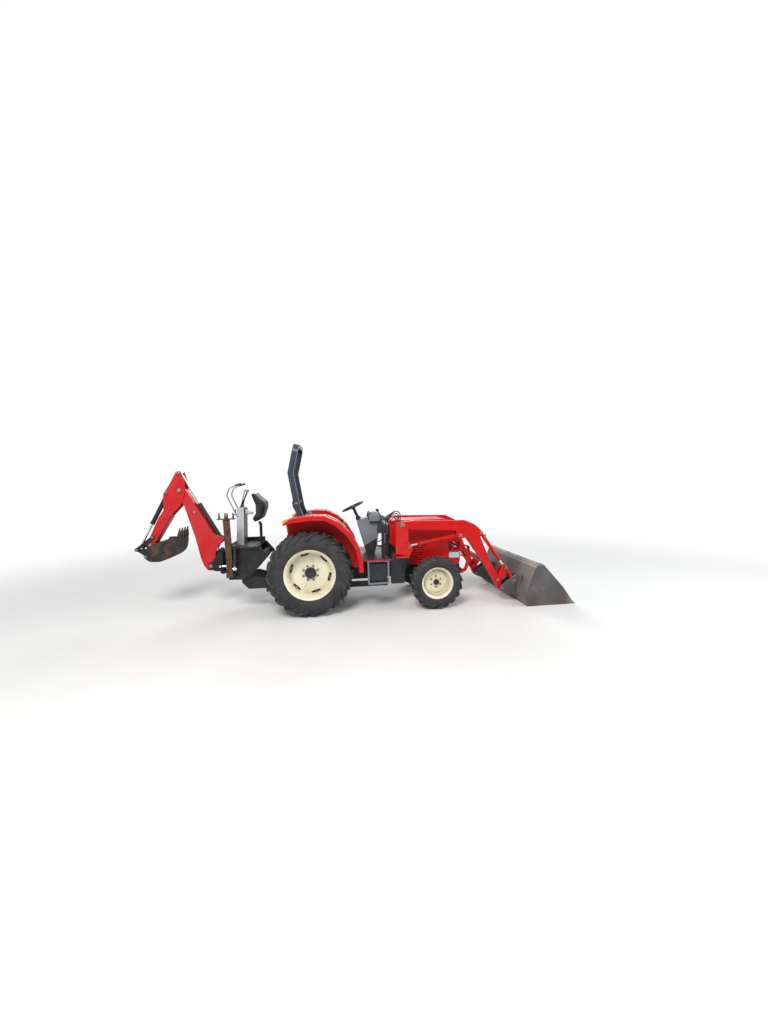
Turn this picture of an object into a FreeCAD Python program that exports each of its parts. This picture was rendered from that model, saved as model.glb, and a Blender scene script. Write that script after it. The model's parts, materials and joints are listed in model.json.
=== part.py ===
"""A compact four-wheel-drive farm tractor with a front loader and a rear digging arm.

Millimetres. +X is forward, +Y is the driver's left and +Z is up. The shapes are drawn from the
rear axle's line on the ground, and place() moves them so that the origin is on the ground under
the middle of the machine's length.
"""
import FreeCAD
import Part
import math
import os

V = FreeCAD.Vector
os.makedirs("parts", exist_ok=True)

# Frame and running gear
ORIGIN_AHEAD = 710.0          # row origin, ahead of the rear axle
WHEELBASE = 1900.0
REAR_TYRE_R = 630.0           # to the lugs' tips
REAR_TYRE_W = 340.0
REAR_HALF_TRACK = 622.0
REAR_SIDEWALL = 260.0         # tyre's height above the rim's edge
REAR_RIM_R = REAR_TYRE_R - REAR_SIDEWALL
REAR_RIM_W = 300.0
REAR_DISC_IN = 170.0          # disc's face, inboard of the rim's outer edge
REAR_LUGS = 20                # pairs
FRONT_TYRE_R = 405.0
FRONT_TYRE_W = 214.0
FRONT_HALF_TRACK = 664.0
FRONT_SIDEWALL = 160.0
FRONT_RIM_R = FRONT_TYRE_R - FRONT_SIDEWALL
FRONT_RIM_W = 150.0
FRONT_DISC_IN = 112.0
FRONT_LUGS = 18
LUG_H = 26.0
TYRE_SIDES = 40
RUNNING_GAP = 0.3             # round a pin, shaft or rod, on the radius
SIDE_GAP = 1.0                # beside an eye in its fork
SEAT = 0.3                    # where one piece sits on another
REAR_SHAFT_R = 42.0
FRONT_SHAFT_R = 30.0
KINGPIN_Y = 512.0
KINGPIN_R = 20.0
KNUCKLE_ROOM = 62.0           # the axle tube stops this far inboard of the kingpin
AXLE_TUBE_R = 56.0
AXLE_ROOM = 26.0              # round the axle tube, under the rails
AXLE_BOWL_R = 104.0           # differential housing
TIE_ARM = 130.0               # steering arm, straight behind the kingpin
TIE_PIN_R = 12.0

# Engine, castings and frame
AXLE_TOP_ROOM = 11.0          # between the axle's housing and the engine
ENGINE_Z0 = FRONT_TYRE_R + AXLE_BOWL_R + AXLE_TOP_ROOM
ENGINE = (1290.0, 2040.0, 165.0, ENGINE_Z0, 1010.0)  # x0, x1, half width, z0, z1
RAIL_Y = 150.0
RAIL_T = 26.0
RAIL_Z = (430.0, 560.0)
RAIL_X = (1240.0, 2440.0)

# Bonnet
HOOD_X = (1235.0, 2420.0)
HOOD_HALF = 305.0
HOOD_TOP = 1345.0
HOOD_LOW = 615.0
HOOD_T = 8.0
NOSE_SIDE = 115.0             # bonnet's side to the nose slots' ends
HOOD_HINGE = (1262.0, 1318.0)
LOUVRES = 8                   # in each side, at the rear
LAMP = (2206.0, 690.0, 110.0)    # rear edge, lower edge and height of a headlamp's opening

# Platform and seat
FLOOR_Z = 775.0
FLOOR_TOP = FLOOR_Z + 8.0
FLOOR_X = (640.0, 1216.0)
FLOOR_HALF = 620.0
FENDER_IN = 418.0                # fender's inner wall
SEAT_X = 215.0
SEAT_Z = 1180.0

WHEEL_AT = (677.0, 1562.0)       # steering wheel's centre
WHEEL_TILT = 23.8
COLUMN = 250.0                   # wheel's centre to the column's lower end
COLUMN_R = 24.0

# Roll bar
BAR_Y = 385.0                    # middle of each leg
BAR_FOOT = (-60.0, 1270.0)
BAR_HINGE = (-190.0, 1655.0)
BAR_BEND = (-262.0, 2110.0)
BAR_TOP = (-166.0, 2530.0)
BAR_D = 84.0
BAR_W = 52.0

# Loader
ARM_Y = 520.0
ARM_W = 84.0
ARM_PIVOT = (1400.0, 1292.0)
ARM_PIN_R = 16.0
LIFT_BASE = (1524.0, 962.0)      # rod's eye, on the mast
LIFT_HEAD = (2325.0, 1100.0)     # barrel's eye, on the arm
TILT_BASE = (2668.0, 1132.0)     # barrel's eye, on the arm
BUCKET_PIN = (2990.0, 228.0)
ROCKER_PIN = (BUCKET_PIN[0] - 52.0, BUCKET_PIN[1] + 134.0)
ROCKER_TOP = (ROCKER_PIN[0] + 130.0, ROCKER_PIN[1] + 190.0)
BUCKET_HEEL = BUCKET_PIN[0] + 272.0
BUCKET_LIP = BUCKET_HEEL + 823.0
BUCKET_TOP = (BUCKET_HEEL + 216.0, 664.0)
LINK_LOW = (BUCKET_HEEL - 66.0, 345.0)
BUCKET_HALF = 868.0
BUCKET_T = 10.0
EAR_SPREAD = 81.0                # bucket ears' middle planes, each side of the arm's
TILT_GLAND = 145.0               # barrel's end, short of the rod's eye
TILT_INSIDE = 190.0              # rod's inner end, from the barrel's eye
LIFT_GLAND = 110.0
LIFT_INSIDE = 150.0

# Digging arm
SWING_X = -1400.0
SWING_ROD_Y = 128.0
SWING_ROD_R = 16.0
BOOM_FOOT = (-1560.0, 690.0)
BOOM_HORN = (-1402.0, 1096.0)
BOOM_TIP = (-1957.0, 1881.0)
BOOM_HALF = 62.0
DIP_TOP = (-1957.0, 2146.0)
DIP_CYL = (-2148.0, 1853.0)
DIP_HALF = 80.0
DIP_T = 12.0
HOE_PIN = (-2405.0, 1062.0)
GUIDE_PIN = (-2376.0, 1176.0)
ROD_PIN = (-2612.0, 990.0)
HOE_EAR = (-2478.0, 884.0)
HOE_HALF = 175.0
BOOM_CYL_LOW = (-1478.0, 945.0)
BOOM_CYL_TOP = (-1758.0, 1540.0)
STAB_X = -1195.0
STAB_PIVOT = (345.0, 590.0)      # y, z
STAB_TOP = (452.0, 1440.0)
STAB_W = 84.0
STAB_CYL_X = -1110.0
STAB_BARREL_R = 24.0
STAB_BASE = (385.0, 1042.0)      # barrel's eye, y and z
STAB_EYE = (441.0, 705.0)        # rod's eye on the leg
HOE_FRAME_Y = 305.0
CONSOLE_TOP = 1596.0
HOE_SEAT_PIN = (-812.0, 1350.0)


def mirror(shape):
    """The same shape on the other side of the middle plane."""
    return shape.mirror(V(0, 0, 0), V(0, 1, 0))


def both(shape):
    """A piece and its mirror, as two solids of one node."""
    return Part.makeCompound([shape, mirror(shape)])


def box(x0, x1, y0, y1, z0, z1):
    return Part.makeBox(x1 - x0, y1 - y0, z1 - z0, V(x0, y0, z0))


def rod(p, q, r):
    """A round bar of radius r from p to q."""
    p, q = V(*p), V(*q)
    return Part.makeCylinder(r, (q - p).Length, p, q - p)


def pin(at, r, y0, y1):
    """A round bar across the machine at (x, z), from y0 to y1."""
    return rod((at[0], y0, at[1]), (at[0], y1, at[1]), r)


def corner(p, a, b, r):
    """The arc's two ends and middle where the outline turns at p with radius r."""
    u, w = (a - p).normalize(), (b - p).normalize()
    half = u.getAngle(w) / 2
    back = r / math.tan(half)
    mid = (u + w).normalize()
    centre = p + mid * (r / math.sin(half))
    return p + u * back, centre - mid * r, p + w * back


def rounded(points, closed=True):
    """A wire through points (x, y, z, radius); 0 leaves a corner sharp, and one too big is cut down to fit."""
    pts = [V(*p[:3]) for p in points]
    n = len(pts)
    edges, stops, use = [], [], []
    for i in range(n):
        turn = (pts[i - 1] - pts[i]).getAngle(pts[(i + 1) % n] - pts[i])
        use.append((points[i][3], math.tan(turn / 2)))
    for i in range(n):
        r, slope = use[i]
        if r and (closed or 0 < i < n - 1):
            for k in (i - 1, (i + 1) % n):
                side = (pts[k] - pts[i]).Length * 0.98
                other = use[k][0] / use[k][1] if use[k][0] else 0.0
                if r / slope + other > side:
                    r = min(r, slope * side * (r / slope) / (r / slope + other))
            stops.append(corner(pts[i], pts[i - 1], pts[(i + 1) % n], r))
        else:
            stops.append((pts[i],) * 3)
    for i in range(n if closed else n - 1):
        start, end = stops[i][2], stops[(i + 1) % n][0]
        if (end - start).Length > 1e-6:
            edges.append(Part.LineSegment(start, end).toShape())
        a, m, b = stops[(i + 1) % n]
        if (b - a).Length > 1e-6:
            edges.append(Part.Arc(a, m, b).toShape())
    return Part.Wire(edges)


def plate(outline, y0, y1):
    """A side-view outline of (x, z) or (x, z, radius) corners, y0 to y1 thick."""
    points = [(p[0], y0, p[1], p[2] if len(p) > 2 else 0) for p in outline]
    return Part.Face(rounded(points)).extrude(V(0, y1 - y0, 0))


def front_plate(outline, x0, x1):
    """The same for a front-view outline of (y, z, radius) corners."""
    points = [(x0, p[0], p[1], p[2] if len(p) > 2 else 0) for p in outline]
    return Part.Face(rounded(points)).extrude(V(x1 - x0, 0, 0))


def pipe(points, r):
    """A round tube's solid along a path of (x, y, z, bend radius) points."""
    path = rounded(points, closed=False)
    start, along = V(*points[0][:3]), V(*points[1][:3]) - V(*points[0][:3])
    ring = Part.Wire(Part.makeCircle(r, start, along))
    return path.makePipeShell([ring], True, False)


def beam(a, b, depth, y0, y1, over=0.0):
    """A straight box bar in side view from a to b, depth wide across its length."""
    a, b = V(a[0], 0, a[1]), V(b[0], 0, b[1])
    u = (b - a).normalize()
    w = V(-u.z, 0, u.x) * (depth / 2)
    a, b = a - u * over, b + u * over
    return plate([(p.x, p.z) for p in (a - w, b - w, b + w, a + w)], y0, y1)


def fuse(*shapes):
    """One solid of several that overlap."""
    whole = shapes[0].fuse(list(shapes[1:])) if len(shapes) > 1 else shapes[0]
    return whole.removeSplitter()


def place(shape):
    return shape.translated(V(-ORIGIN_AHEAD, 0, 0))


def save(name, shape):
    """Writes one node in the row's frame."""
    moved = place(shape)
    solids = moved.Solids
    moved = solids[0] if len(solids) == 1 else Part.makeCompound(solids)
    moved.exportStep("parts/%s.step" % name)
    print("%-20s %2d solids %8.2f litres valid %s" % (name, len(solids), moved.Volume / 1e6, moved.isValid()))


def toward(a, b, d):
    """The side-view point d along the line from a to b."""
    u = V(b[0] - a[0], 0, b[1] - a[1]).normalize()
    return (a[0] + u.x * d, a[1] + u.z * d)


def reach(a, b):
    return math.hypot(b[0] - a[0], b[1] - a[1])


# Hydraulic cylinders, drawn in side view at a centre plane y
EYE_T = 16.0


def barrel(base, eye, y, r, rod_r, length, pin_r, half):
    """A cylinder's tube from its base eye to its gland, bored for the rod."""
    start, end = toward(base, eye, (pin_r + EYE_T) * 0.8), toward(base, eye, length)
    gland = toward(base, eye, length - r)
    bore_from = toward(base, eye, pin_r + EYE_T + 10)
    whole = fuse(
        rod((start[0], y, start[1]), (end[0], y, end[1]), r),
        rod((gland[0], y, gland[1]), (end[0], y, end[1]), r + 3),
        pin(base, pin_r + EYE_T, y - half, y + half),
    )
    past = toward(base, eye, length + 5)
    whole = whole.cut(rod((bore_from[0], y, bore_from[1]), (past[0], y, past[1]), rod_r + RUNNING_GAP))
    return whole.cut(pin(base, pin_r + RUNNING_GAP, y - half - 1, y + half + 1))


def piston_rod(base, eye, y, rod_r, inside, pin_r, half):
    """The rod that runs in the barrel, from its inner end to the eye and its short pin."""
    start = toward(base, eye, inside)
    return fuse(
        rod((start[0], y, start[1]), (eye[0], y, eye[1]), rod_r),
        pin(eye, pin_r + EYE_T, y - half, y + half),
        pin(eye, pin_r, y - half - 13, y + half + 13),
    )


# Wheels, made about the axis Y with the outer side towards -Y
def ring_solid(profile, sides):
    """A many-sided turned solid from a closed profile of (radius, y) points."""
    faces = []
    for i in range(sides):
        a0, a1 = (2 * math.pi * k / sides for k in (i, i + 1))
        for j in range(len(profile)):
            (r0, y0), (r1, y1) = profile[j], profile[(j + 1) % len(profile)]
            quad = [
                V(r0 * math.cos(a0), y0, r0 * math.sin(a0)), V(r1 * math.cos(a0), y1, r1 * math.sin(a0)),
                V(r1 * math.cos(a1), y1, r1 * math.sin(a1)), V(r0 * math.cos(a1), y0, r0 * math.sin(a1)),
            ]
            faces.append(Part.Face(Part.makePolygon(quad + quad[:1])))
    solid = Part.Solid(Part.makeShell(faces))
    if solid.Volume < 0:
        solid.reverse()
    return solid


def tyre(radius, width, rim_r, rim_w, lugs):
    """A farm tyre: round carcass with bars in two rows that meet in a V pointing the way it rolls."""
    crown, h, seat = radius - LUG_H, width / 2, (rim_r + SEAT) / math.cos(math.pi / TYRE_SIDES)
    bead = rim_w / 2 - 12
    carcass = ring_solid([
        (seat, -bead), (rim_r + 0.35 * (crown - rim_r), -h), (crown - 34, -h * 0.95), (crown, -h * 0.72),
        (crown, h * 0.72), (crown - 34, h * 0.95), (rim_r + 0.35 * (crown - rim_r), h), (seat, bead),
    ], TYRE_SIDES)
    pitch = 2 * math.pi / lugs
    bar_w = 0.20 * crown * pitch
    slant = 0.62 * crown * pitch
    low, high = crown - 62, math.sqrt(radius ** 2 - (slant / 2) ** 2)
    bars = []
    for side in (-1, 1):
        outline = [(-bar_w / 2 + slant / 2, side * -6), (bar_w / 2 + slant / 2, side * -6),
                   (bar_w / 2 - slant / 2, side * h), (-bar_w / 2 - slant / 2, side * h)]
        points = [V(x, y, low) for x, y in outline]
        bar = Part.Face(Part.makePolygon(points + points[:1])).extrude(V(0, 0, high - low))
        bevel = Part.Face(Part.makePolygon([V(-900, side * (h + 1), low - 1), V(-900, side * (h + 1), high + 1),
                                            V(-900, side * h * 0.80, high + 1), V(-900, side * (h + 1), low - 1)]))
        bar = bar.cut(bevel.extrude(V(1800, 0, 0)))
        for i in range(lugs):
            turn = math.degrees(pitch * (i + (0.5 if side > 0 else 0)))
            bars.append(bar.rotated(V(0, 0, 0), V(0, 1, 0), turn))
    return carcass.fuse(bars).removeSplitter()


def rim(rim_r, rim_w, disc_in, hub_r, bore_r, hub_len, windows):
    """Rim, dished disc and hub as one turned piece; windows are cut near the rim's edge."""
    out, wall = -rim_w / 2, 8.0
    face = out + disc_in
    well = rim_r - 46
    profile = [
        (rim_r, out), (rim_r, out + 14), (rim_r - 22, out + 22), (rim_r - 30, out + 60), (well, out + 84),
        (well, -out - 84), (rim_r - 30, -out - 60), (rim_r - 22, -out - 22), (rim_r, -out - 14), (rim_r, -out),
        (rim_r - wall, -out), (rim_r - 34, -out - 20), (rim_r - 42, -out - 62), (well - wall, -out - 92),
        (well - wall, face + 34), (well * 0.80, face + 10), (hub_r * 1.9, face + 10), (hub_r, face + 10 + hub_len),
        (bore_r, face + 10 + hub_len), (bore_r, face - 26), (hub_r * 0.95, face - 26), (hub_r, face),
        (well * 0.80, face), (well - wall - 4, face + 20), (well - wall - 4, out + 92), (rim_r - 42, out + 62),
        (rim_r - 34, out + 20), (rim_r - wall, out),
    ]
    points = [V(r, y, 0) for r, y in profile]
    solid = Part.Face(Part.makePolygon(points + points[:1])).revolve(V(0, 0, 0), V(0, 1, 0), 360)
    for i in range(windows):
        cutter = Part.makeCylinder(26, 90, V(well * 0.885, face - 20, 0), V(0, 1, 0))
        cutter = cutter.fuse(Part.makeBox(34, 90, 130, V(well * 0.885 - 17, face - 20, -65)))
        turn = 360.0 * (i + 0.25) / windows
        solid = solid.cut(cutter.rotated(V(0, 0, 0), V(0, 1, 0), turn))
    return solid


def make_wheels():
    for name, x, r, w, track, rr, rw, disc, hub, bore, hub_len, lugs, windows in (
        ("rear", 0, REAR_TYRE_R, REAR_TYRE_W, REAR_HALF_TRACK, REAR_RIM_R, REAR_RIM_W, REAR_DISC_IN,
         78, REAR_SHAFT_R + RUNNING_GAP, 40, REAR_LUGS, 6),
        ("front", WHEELBASE, FRONT_TYRE_R, FRONT_TYRE_W, FRONT_HALF_TRACK, FRONT_RIM_R, FRONT_RIM_W,
         FRONT_DISC_IN, 52, FRONT_SHAFT_R + RUNNING_GAP, 6, FRONT_LUGS, 0),
    ):
        at = V(x, -track, r)
        t = tyre(r, w, rr, rw, lugs).translated(at)
        d = rim(rr, rw, disc, hub, bore, hub_len, windows).translated(at)
        save("tyre_%s_right" % name, t)
        save("tyre_%s_left" % name, mirror(t))
        save("rim_%s_right" % name, d)
        save("rim_%s_left" % name, mirror(d))


# Driveline
def make_driveline():
    x0, x1, half, z0, z1 = ENGINE
    save("engine_block", fuse(
        box(x0, x1, -half + 22, half - 22, z0, z1),
        box(x0 + 80, x0 + 330, -half + 50, half - 50, z0 - 120, z0 + 5),
    ))
    axle_z = REAR_TYRE_R
    face = REAR_HALF_TRACK + REAR_RIM_W / 2 - REAR_DISC_IN
    case = fuse(
        plate([(-240, 470, 60), (240, 430), (700, 400), (ENGINE[0] - SEAT, 400), (ENGINE[0] - SEAT, 900),
               (1242, 900, 20), (1236, 700), (660, 700), (560, FLOOR_Z + 85 - SEAT, 40),
               (-240, FLOOR_Z + 85 - SEAT, 60)], -140, 140),
        pin((0, axle_z), 105, -face + 130, face - 130),
        pin((0, axle_z), 78, -face + 60, face - 60),
    )
    shaft = pin((0, axle_z), REAR_SHAFT_R, -face - 20, face + 20)
    save("transmission_case", fuse(case, shaft))


def make_front_axle():
    z, x = FRONT_TYRE_R, WHEELBASE
    beam_y = KINGPIN_Y - KNUCKLE_ROOM
    axle = fuse(
        pin((x, z), AXLE_TUBE_R, -beam_y, beam_y),
        Part.makeSphere(AXLE_BOWL_R, V(x, 60, z)),
        rod((x - 230, 0, z), (x + 190, 0, z), 46),
        box(x - 28, x + 28, -KINGPIN_Y, -beam_y + 60, z - 40, z + 40),
        box(x - 28, x + 28, beam_y - 60, KINGPIN_Y, z - 40, z + 40),
        rod((x, -KINGPIN_Y, z - 40), (x, -KINGPIN_Y, z + 40), 28),
        rod((x, KINGPIN_Y, z - 40), (x, KINGPIN_Y, z + 40), 28),
        rod((x, -KINGPIN_Y, z - 78), (x, -KINGPIN_Y, z + 78), KINGPIN_R),
        rod((x, KINGPIN_Y, z - 78), (x, KINGPIN_Y, z + 78), KINGPIN_R),
    )
    save("front_axle", axle)
    disc = FRONT_HALF_TRACK + FRONT_RIM_W / 2 - FRONT_DISC_IN
    fork = fuse(
        box(x - 46, x + 46, KINGPIN_Y - 34, KINGPIN_Y + 66, z + 46, z + 80),
        box(x - 46, x + 46, KINGPIN_Y - 34, KINGPIN_Y + 66, z - 80, z - 46),
        box(x - 46, x + 46, KINGPIN_Y + 34, KINGPIN_Y + 66, z - 80, z + 80),
        pin((x, z), 62, KINGPIN_Y + 40, disc - 24),
        pin((x, z), FRONT_SHAFT_R, KINGPIN_Y + 40, disc + 24),
        box(x - TIE_ARM - 18, x - 20, KINGPIN_Y - 16, KINGPIN_Y + 16, z - 80, z - 50),
        rod((x - TIE_ARM, KINGPIN_Y, z - 104), (x - TIE_ARM, KINGPIN_Y, z - 60), TIE_PIN_R),
    )
    fork = fork.cut(rod((x, KINGPIN_Y, z - 90), (x, KINGPIN_Y, z + 90), KINGPIN_R + RUNNING_GAP))
    save("knuckle_left", fork)
    save("knuckle_right", mirror(fork))
    end = KINGPIN_Y
    tie = fuse(
        pin((x - TIE_ARM, z - 94), 11, -end, end),
        rod((x - TIE_ARM, end, z - 108), (x - TIE_ARM, end, z - 82), 22),
        rod((x - TIE_ARM, -end, z - 108), (x - TIE_ARM, -end, z - 82), 22),
    )
    for s in (-1, 1):
        tie = tie.cut(rod((x - TIE_ARM, s * end, z - 110), (x - TIE_ARM, s * end, z - 50), TIE_PIN_R + RUNNING_GAP))
    save("tie_rod", tie)


def make_front_frame():
    x0, x1 = RAIL_X
    z0, z1 = RAIL_Z
    rail = fuse(
        plate([(x0, z0), (x1, z0), (x1, z1), (2090, z1 + 30), (x0, z1 + 60)], RAIL_Y, RAIL_Y + RAIL_T),
        box(1630, 1700, 30, RAIL_Y + 5, 345, z0 + 60),
        box(x0 + 10, x0 + 45, 140 + SEAT, RAIL_Y + 5, z0 + 40, z0 + 120),
    )
    hanger = [box(1640, 1690, -RAIL_Y - 5, RAIL_Y + 5, FRONT_TYRE_R - 70, FRONT_TYRE_R + 70),
              box(2100, 2150, -RAIL_Y - 5, RAIL_Y + 5, FRONT_TYRE_R - 70, z0 + 70)]
    nose = box(x1 - 26, x1, -RAIL_Y - 5, RAIL_Y + 5, z0 - 30, z1)
    radiator = box(2130, 2200, 65 - HOOD_HALF, HOOD_HALF - 65, z1 - 10, 1180)
    shelf = box(2110, 2380, -RAIL_Y - 20, RAIL_Y + 20, z1 - 12, z1 + 4)
    whole = fuse(rail, mirror(rail), nose, shelf, radiator, *hanger)
    for x in (1640, 2100):
        whole = whole.cut(rod((x - 20, 0, FRONT_TYRE_R), (x + 70, 0, FRONT_TYRE_R), 46 + RUNNING_GAP))
    arch = AXLE_TUBE_R + AXLE_ROOM
    whole = whole.cut(pin((WHEELBASE, FRONT_TYRE_R), arch, -RAIL_Y - RAIL_T - 1, RAIL_Y + RAIL_T + 1))
    save("front_frame", whole)


# Bonnet with its sides, nose slots and lamps
def hood_section(top, half, low):
    """Front-view outline of the bonnet: flat sides and a crowned top."""
    return [(-half, low), (-half, top - 120, 40), (-half + 46, top - 22, 60), (0, top, 500),
            (half - 46, top - 22, 60), (half, top - 120, 40), (half, low)]


def lamp_shape(inset):
    """A headlamp's block, with its rear corners rounded, smaller than its opening by the inset."""
    x, z, high = LAMP
    side = [(x + inset, z + inset, 44), (x + inset, z + high - inset, 24), (HOOD_X[1] + 20, z + high - inset),
            (HOOD_X[1] + 20, z + inset)]
    return plate(side, HOOD_HALF - 86 + inset, HOOD_HALF + 5)


def make_hood():
    x0, x1 = HOOD_X
    side = [(x0, HOOD_TOP), (x0 + 300, HOOD_TOP + 8), (2150, HOOD_TOP - 10, 200), (x1 - 90, HOOD_TOP - 60, 110),
            (x1 - 20, 1000, 300), (x1, 760, 60), (x1 - 30, HOOD_LOW - 15), (1480, HOOD_LOW + 8), (1440, 840, 60),
            (1330, 900, 60), (x0, 980)]
    shell = plate(side, -HOOD_HALF, HOOD_HALF)
    body = front_plate(hood_section(HOOD_TOP + 12, HOOD_HALF, 500), x0 - 5, x1 + 5)
    outer = shell.common(body)
    inner = front_plate(hood_section(HOOD_TOP + 12 - HOOD_T * 1.4, HOOD_HALF - HOOD_T, 400), x0 - 50, x1 - 34)
    shrunk = plate([(x0 - 60, HOOD_TOP + 20), (x1 - 110, HOOD_TOP - 80, 90), (x1 - 34, 1000, 300), (x1 - 14, 760, 50),
                    (x1 - 44, 400), (x0 - 60, 400)], -HOOD_HALF, HOOD_HALF)
    body = outer.cut(inner.common(shrunk))
    for i in range(LOUVRES):
        z, lean = HOOD_LOW + 25 + 40 * i, max(0, i - 3) * 16
        slot = plate([(1500 + lean, z, 6), (1760 + lean, z, 6), (1766 + lean, z + 16, 6), (1506 + lean, z + 16, 6)],
                     -HOOD_HALF - 5, HOOD_HALF + 5)
        body = body.cut(slot)
    for z in (838, 872, 906, 940):
        body = body.cut(box(2215, x1 - 25, -HOOD_HALF - 5, HOOD_HALF + 5, z, z + 20))
    for z in range(700, 1180, 60):
        body = body.cut(box(x1 - 140, x1 + 10, NOSE_SIDE - HOOD_HALF, HOOD_HALF - NOSE_SIDE, z, z + 34))
    eye = lamp_shape(0.0)
    body = body.cut(eye).cut(mirror(eye))
    hx, hz = HOOD_HINGE
    body = body.cut(pin(HOOD_HINGE, 30, -HOOD_HALF + 60, HOOD_HALF - 60))
    for s in (-1, 1):
        lug = plate([(hx - 14, hz - 14), (hx + 60, hz - 14), (hx + 60, hz + 40), (hx - 14, hz + 14)],
                    s * 140 - 8, s * 140 + 8)
        body = fuse(body, lug.cut(pin(HOOD_HINGE, 8 + RUNNING_GAP, s * 140 - 20, s * 140 + 20)))
    save("hood", body)
    save("headlamps", both(lamp_shape(SEAT).common(outer)))


def make_guard():
    """Bars in front of the bonnet, on the frame's nose."""
    y = 250.0
    front = HOOD_HINGE[0] + math.hypot(HOOD_X[1] - 30 - HOOD_HINGE[0], HOOD_HINGE[1] - HOOD_LOW + 15) - 46
    side = [(2458, 436, 10), (2530, 450, 60), (front + 38, 600, 90), (front + 38, 858), (front + 16, 884, 12),
            (front - 16, 884, 12), (front - 16, 640, 90), (2494, 500, 40), (2458, 486)]
    bar = plate(side, y - 7, y + 7)
    cross = [pin((front, z), 12, -y, y) for z in (660, 765, 866)]
    foot = box(RAIL_X[1] + SEAT, RAIL_X[1] + 30, -y - 30, y + 30, 430, 490)
    save("grille_guard", fuse(bar, mirror(bar), foot, *cross))


# Loader
def make_loader_frame():
    inner, outer = ARM_Y - ARM_W / 2 - SIDE_GAP, ARM_Y + ARM_W / 2 + SIDE_GAP
    post = [(1300, 1315, 20), (1290, 900, 20), (1380, 845, 60), (1520, 820, 40), (1560, 930, 50), (1490, 1030, 60),
            (1486, 1300, 30), (1400, 1345, 60)]
    sides = [plate(post, inner - 12, inner), plate(post, outer, outer + 12)]
    back = plate([(1290, 1190), (1290, 880), (1340, 860), (1340, 1190)], inner - 1, outer + 1)
    base = plate([(1300, 900), (1290, 850), (1500, 806), (1520, 850), (1400, 880)], inner - 12, outer + 12)
    mast = fuse(*sides, back, base, pin(ARM_PIVOT, ARM_PIN_R, inner - 20, outer + 20),
                pin(LIFT_BASE, 24, inner - 18, inner - 6), pin(LIFT_BASE, 24, outer + 6, outer + 18))
    bracket = fuse(
        plate([(1240, 330, 20), (1462, 330, 20), (1470, 560, 80), (1568, 650, 30), (1540, 790), (1290, 820),
               (1232, 650, 60)], 330, 356),
        box(1290, 1500, 330, outer + 10, 780, 812),
        box(1270, 1480, RAIL_Y + RAIL_T + SEAT, 340, 470, 540),
    )
    save("loader_frames", both(fuse(mast, bracket)))


def make_loader_boom():
    y0, y1 = ARM_Y - ARM_W / 2, ARM_Y + ARM_W / 2
    a = ARM_PIVOT
    outline = [
        (a[0] - 50, a[1] - 36, 40), (a[0] - 50, a[1] + 42, 40), (a[0] + 160, 1350, 60), (2270, 1335), (2400, 1335, 90),
        (2560, 1262, 200), (2700, 1135, 46), (2650, 1062, 20), (2800, 690), (2960, 400, 30), (3042, 205, 40),
        (2985, 160, 40), (2905, 305), (2680, 682), (2432, 1062, 20), (2330, 1048, 50), (2255, 1100, 40), (2255, 1178),
        (1560, 1222, 60),
    ]
    arm = plate(outline, y0, y1)
    tube = rod((2790, -y0 - 1, 640), (2790, y0 + 1, 640), 48)
    whole = fuse(arm, mirror(arm), tube)
    whole = whole.cut(pin(ARM_PIVOT, ARM_PIN_R + RUNNING_GAP, -900, 900))
    fork = ARM_W / 2
    for s in (-1, 1):
        y = s * ARM_Y
        whole = whole.cut(plate([(2240, 1185), (2240, 1000), (2410, 1000), (2410, 1140), (2360, 1160)],
                                y - 34, y + 34))
        whole = whole.cut(plate([(2622, 1000), (2790, 1010), (2790, 1230), (2600, 1190)], y - 34, y + 34))
        ears = [pin(LIFT_HEAD, 13, y - fork, y + fork), pin(TILT_BASE, 13, y - fork, y + fork)]
        ears += [pin(ROCKER_PIN, 13, y - 57, y + 57), pin(BUCKET_PIN, 14, y - 90, y + 90)]
        whole = fuse(whole, *ears)
    save("loader_boom", whole)


def make_loader_cylinders():
    for name, base, eye, r, rod_r, gland, inside in (
        ("lift", LIFT_HEAD, LIFT_BASE, 30, 17, LIFT_GLAND, LIFT_INSIDE),
        ("tilt", TILT_BASE, ROCKER_TOP, 29, 16, TILT_GLAND, TILT_INSIDE),
    ):
        length = reach(base, eye) - gland
        save("%s_barrels" % name, both(barrel(base, eye, ARM_Y, r, rod_r, length, 13, 28)))
        save("%s_rods" % name, both(piston_rod(base, eye, ARM_Y, rod_r, inside, 13, 25)))


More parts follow.
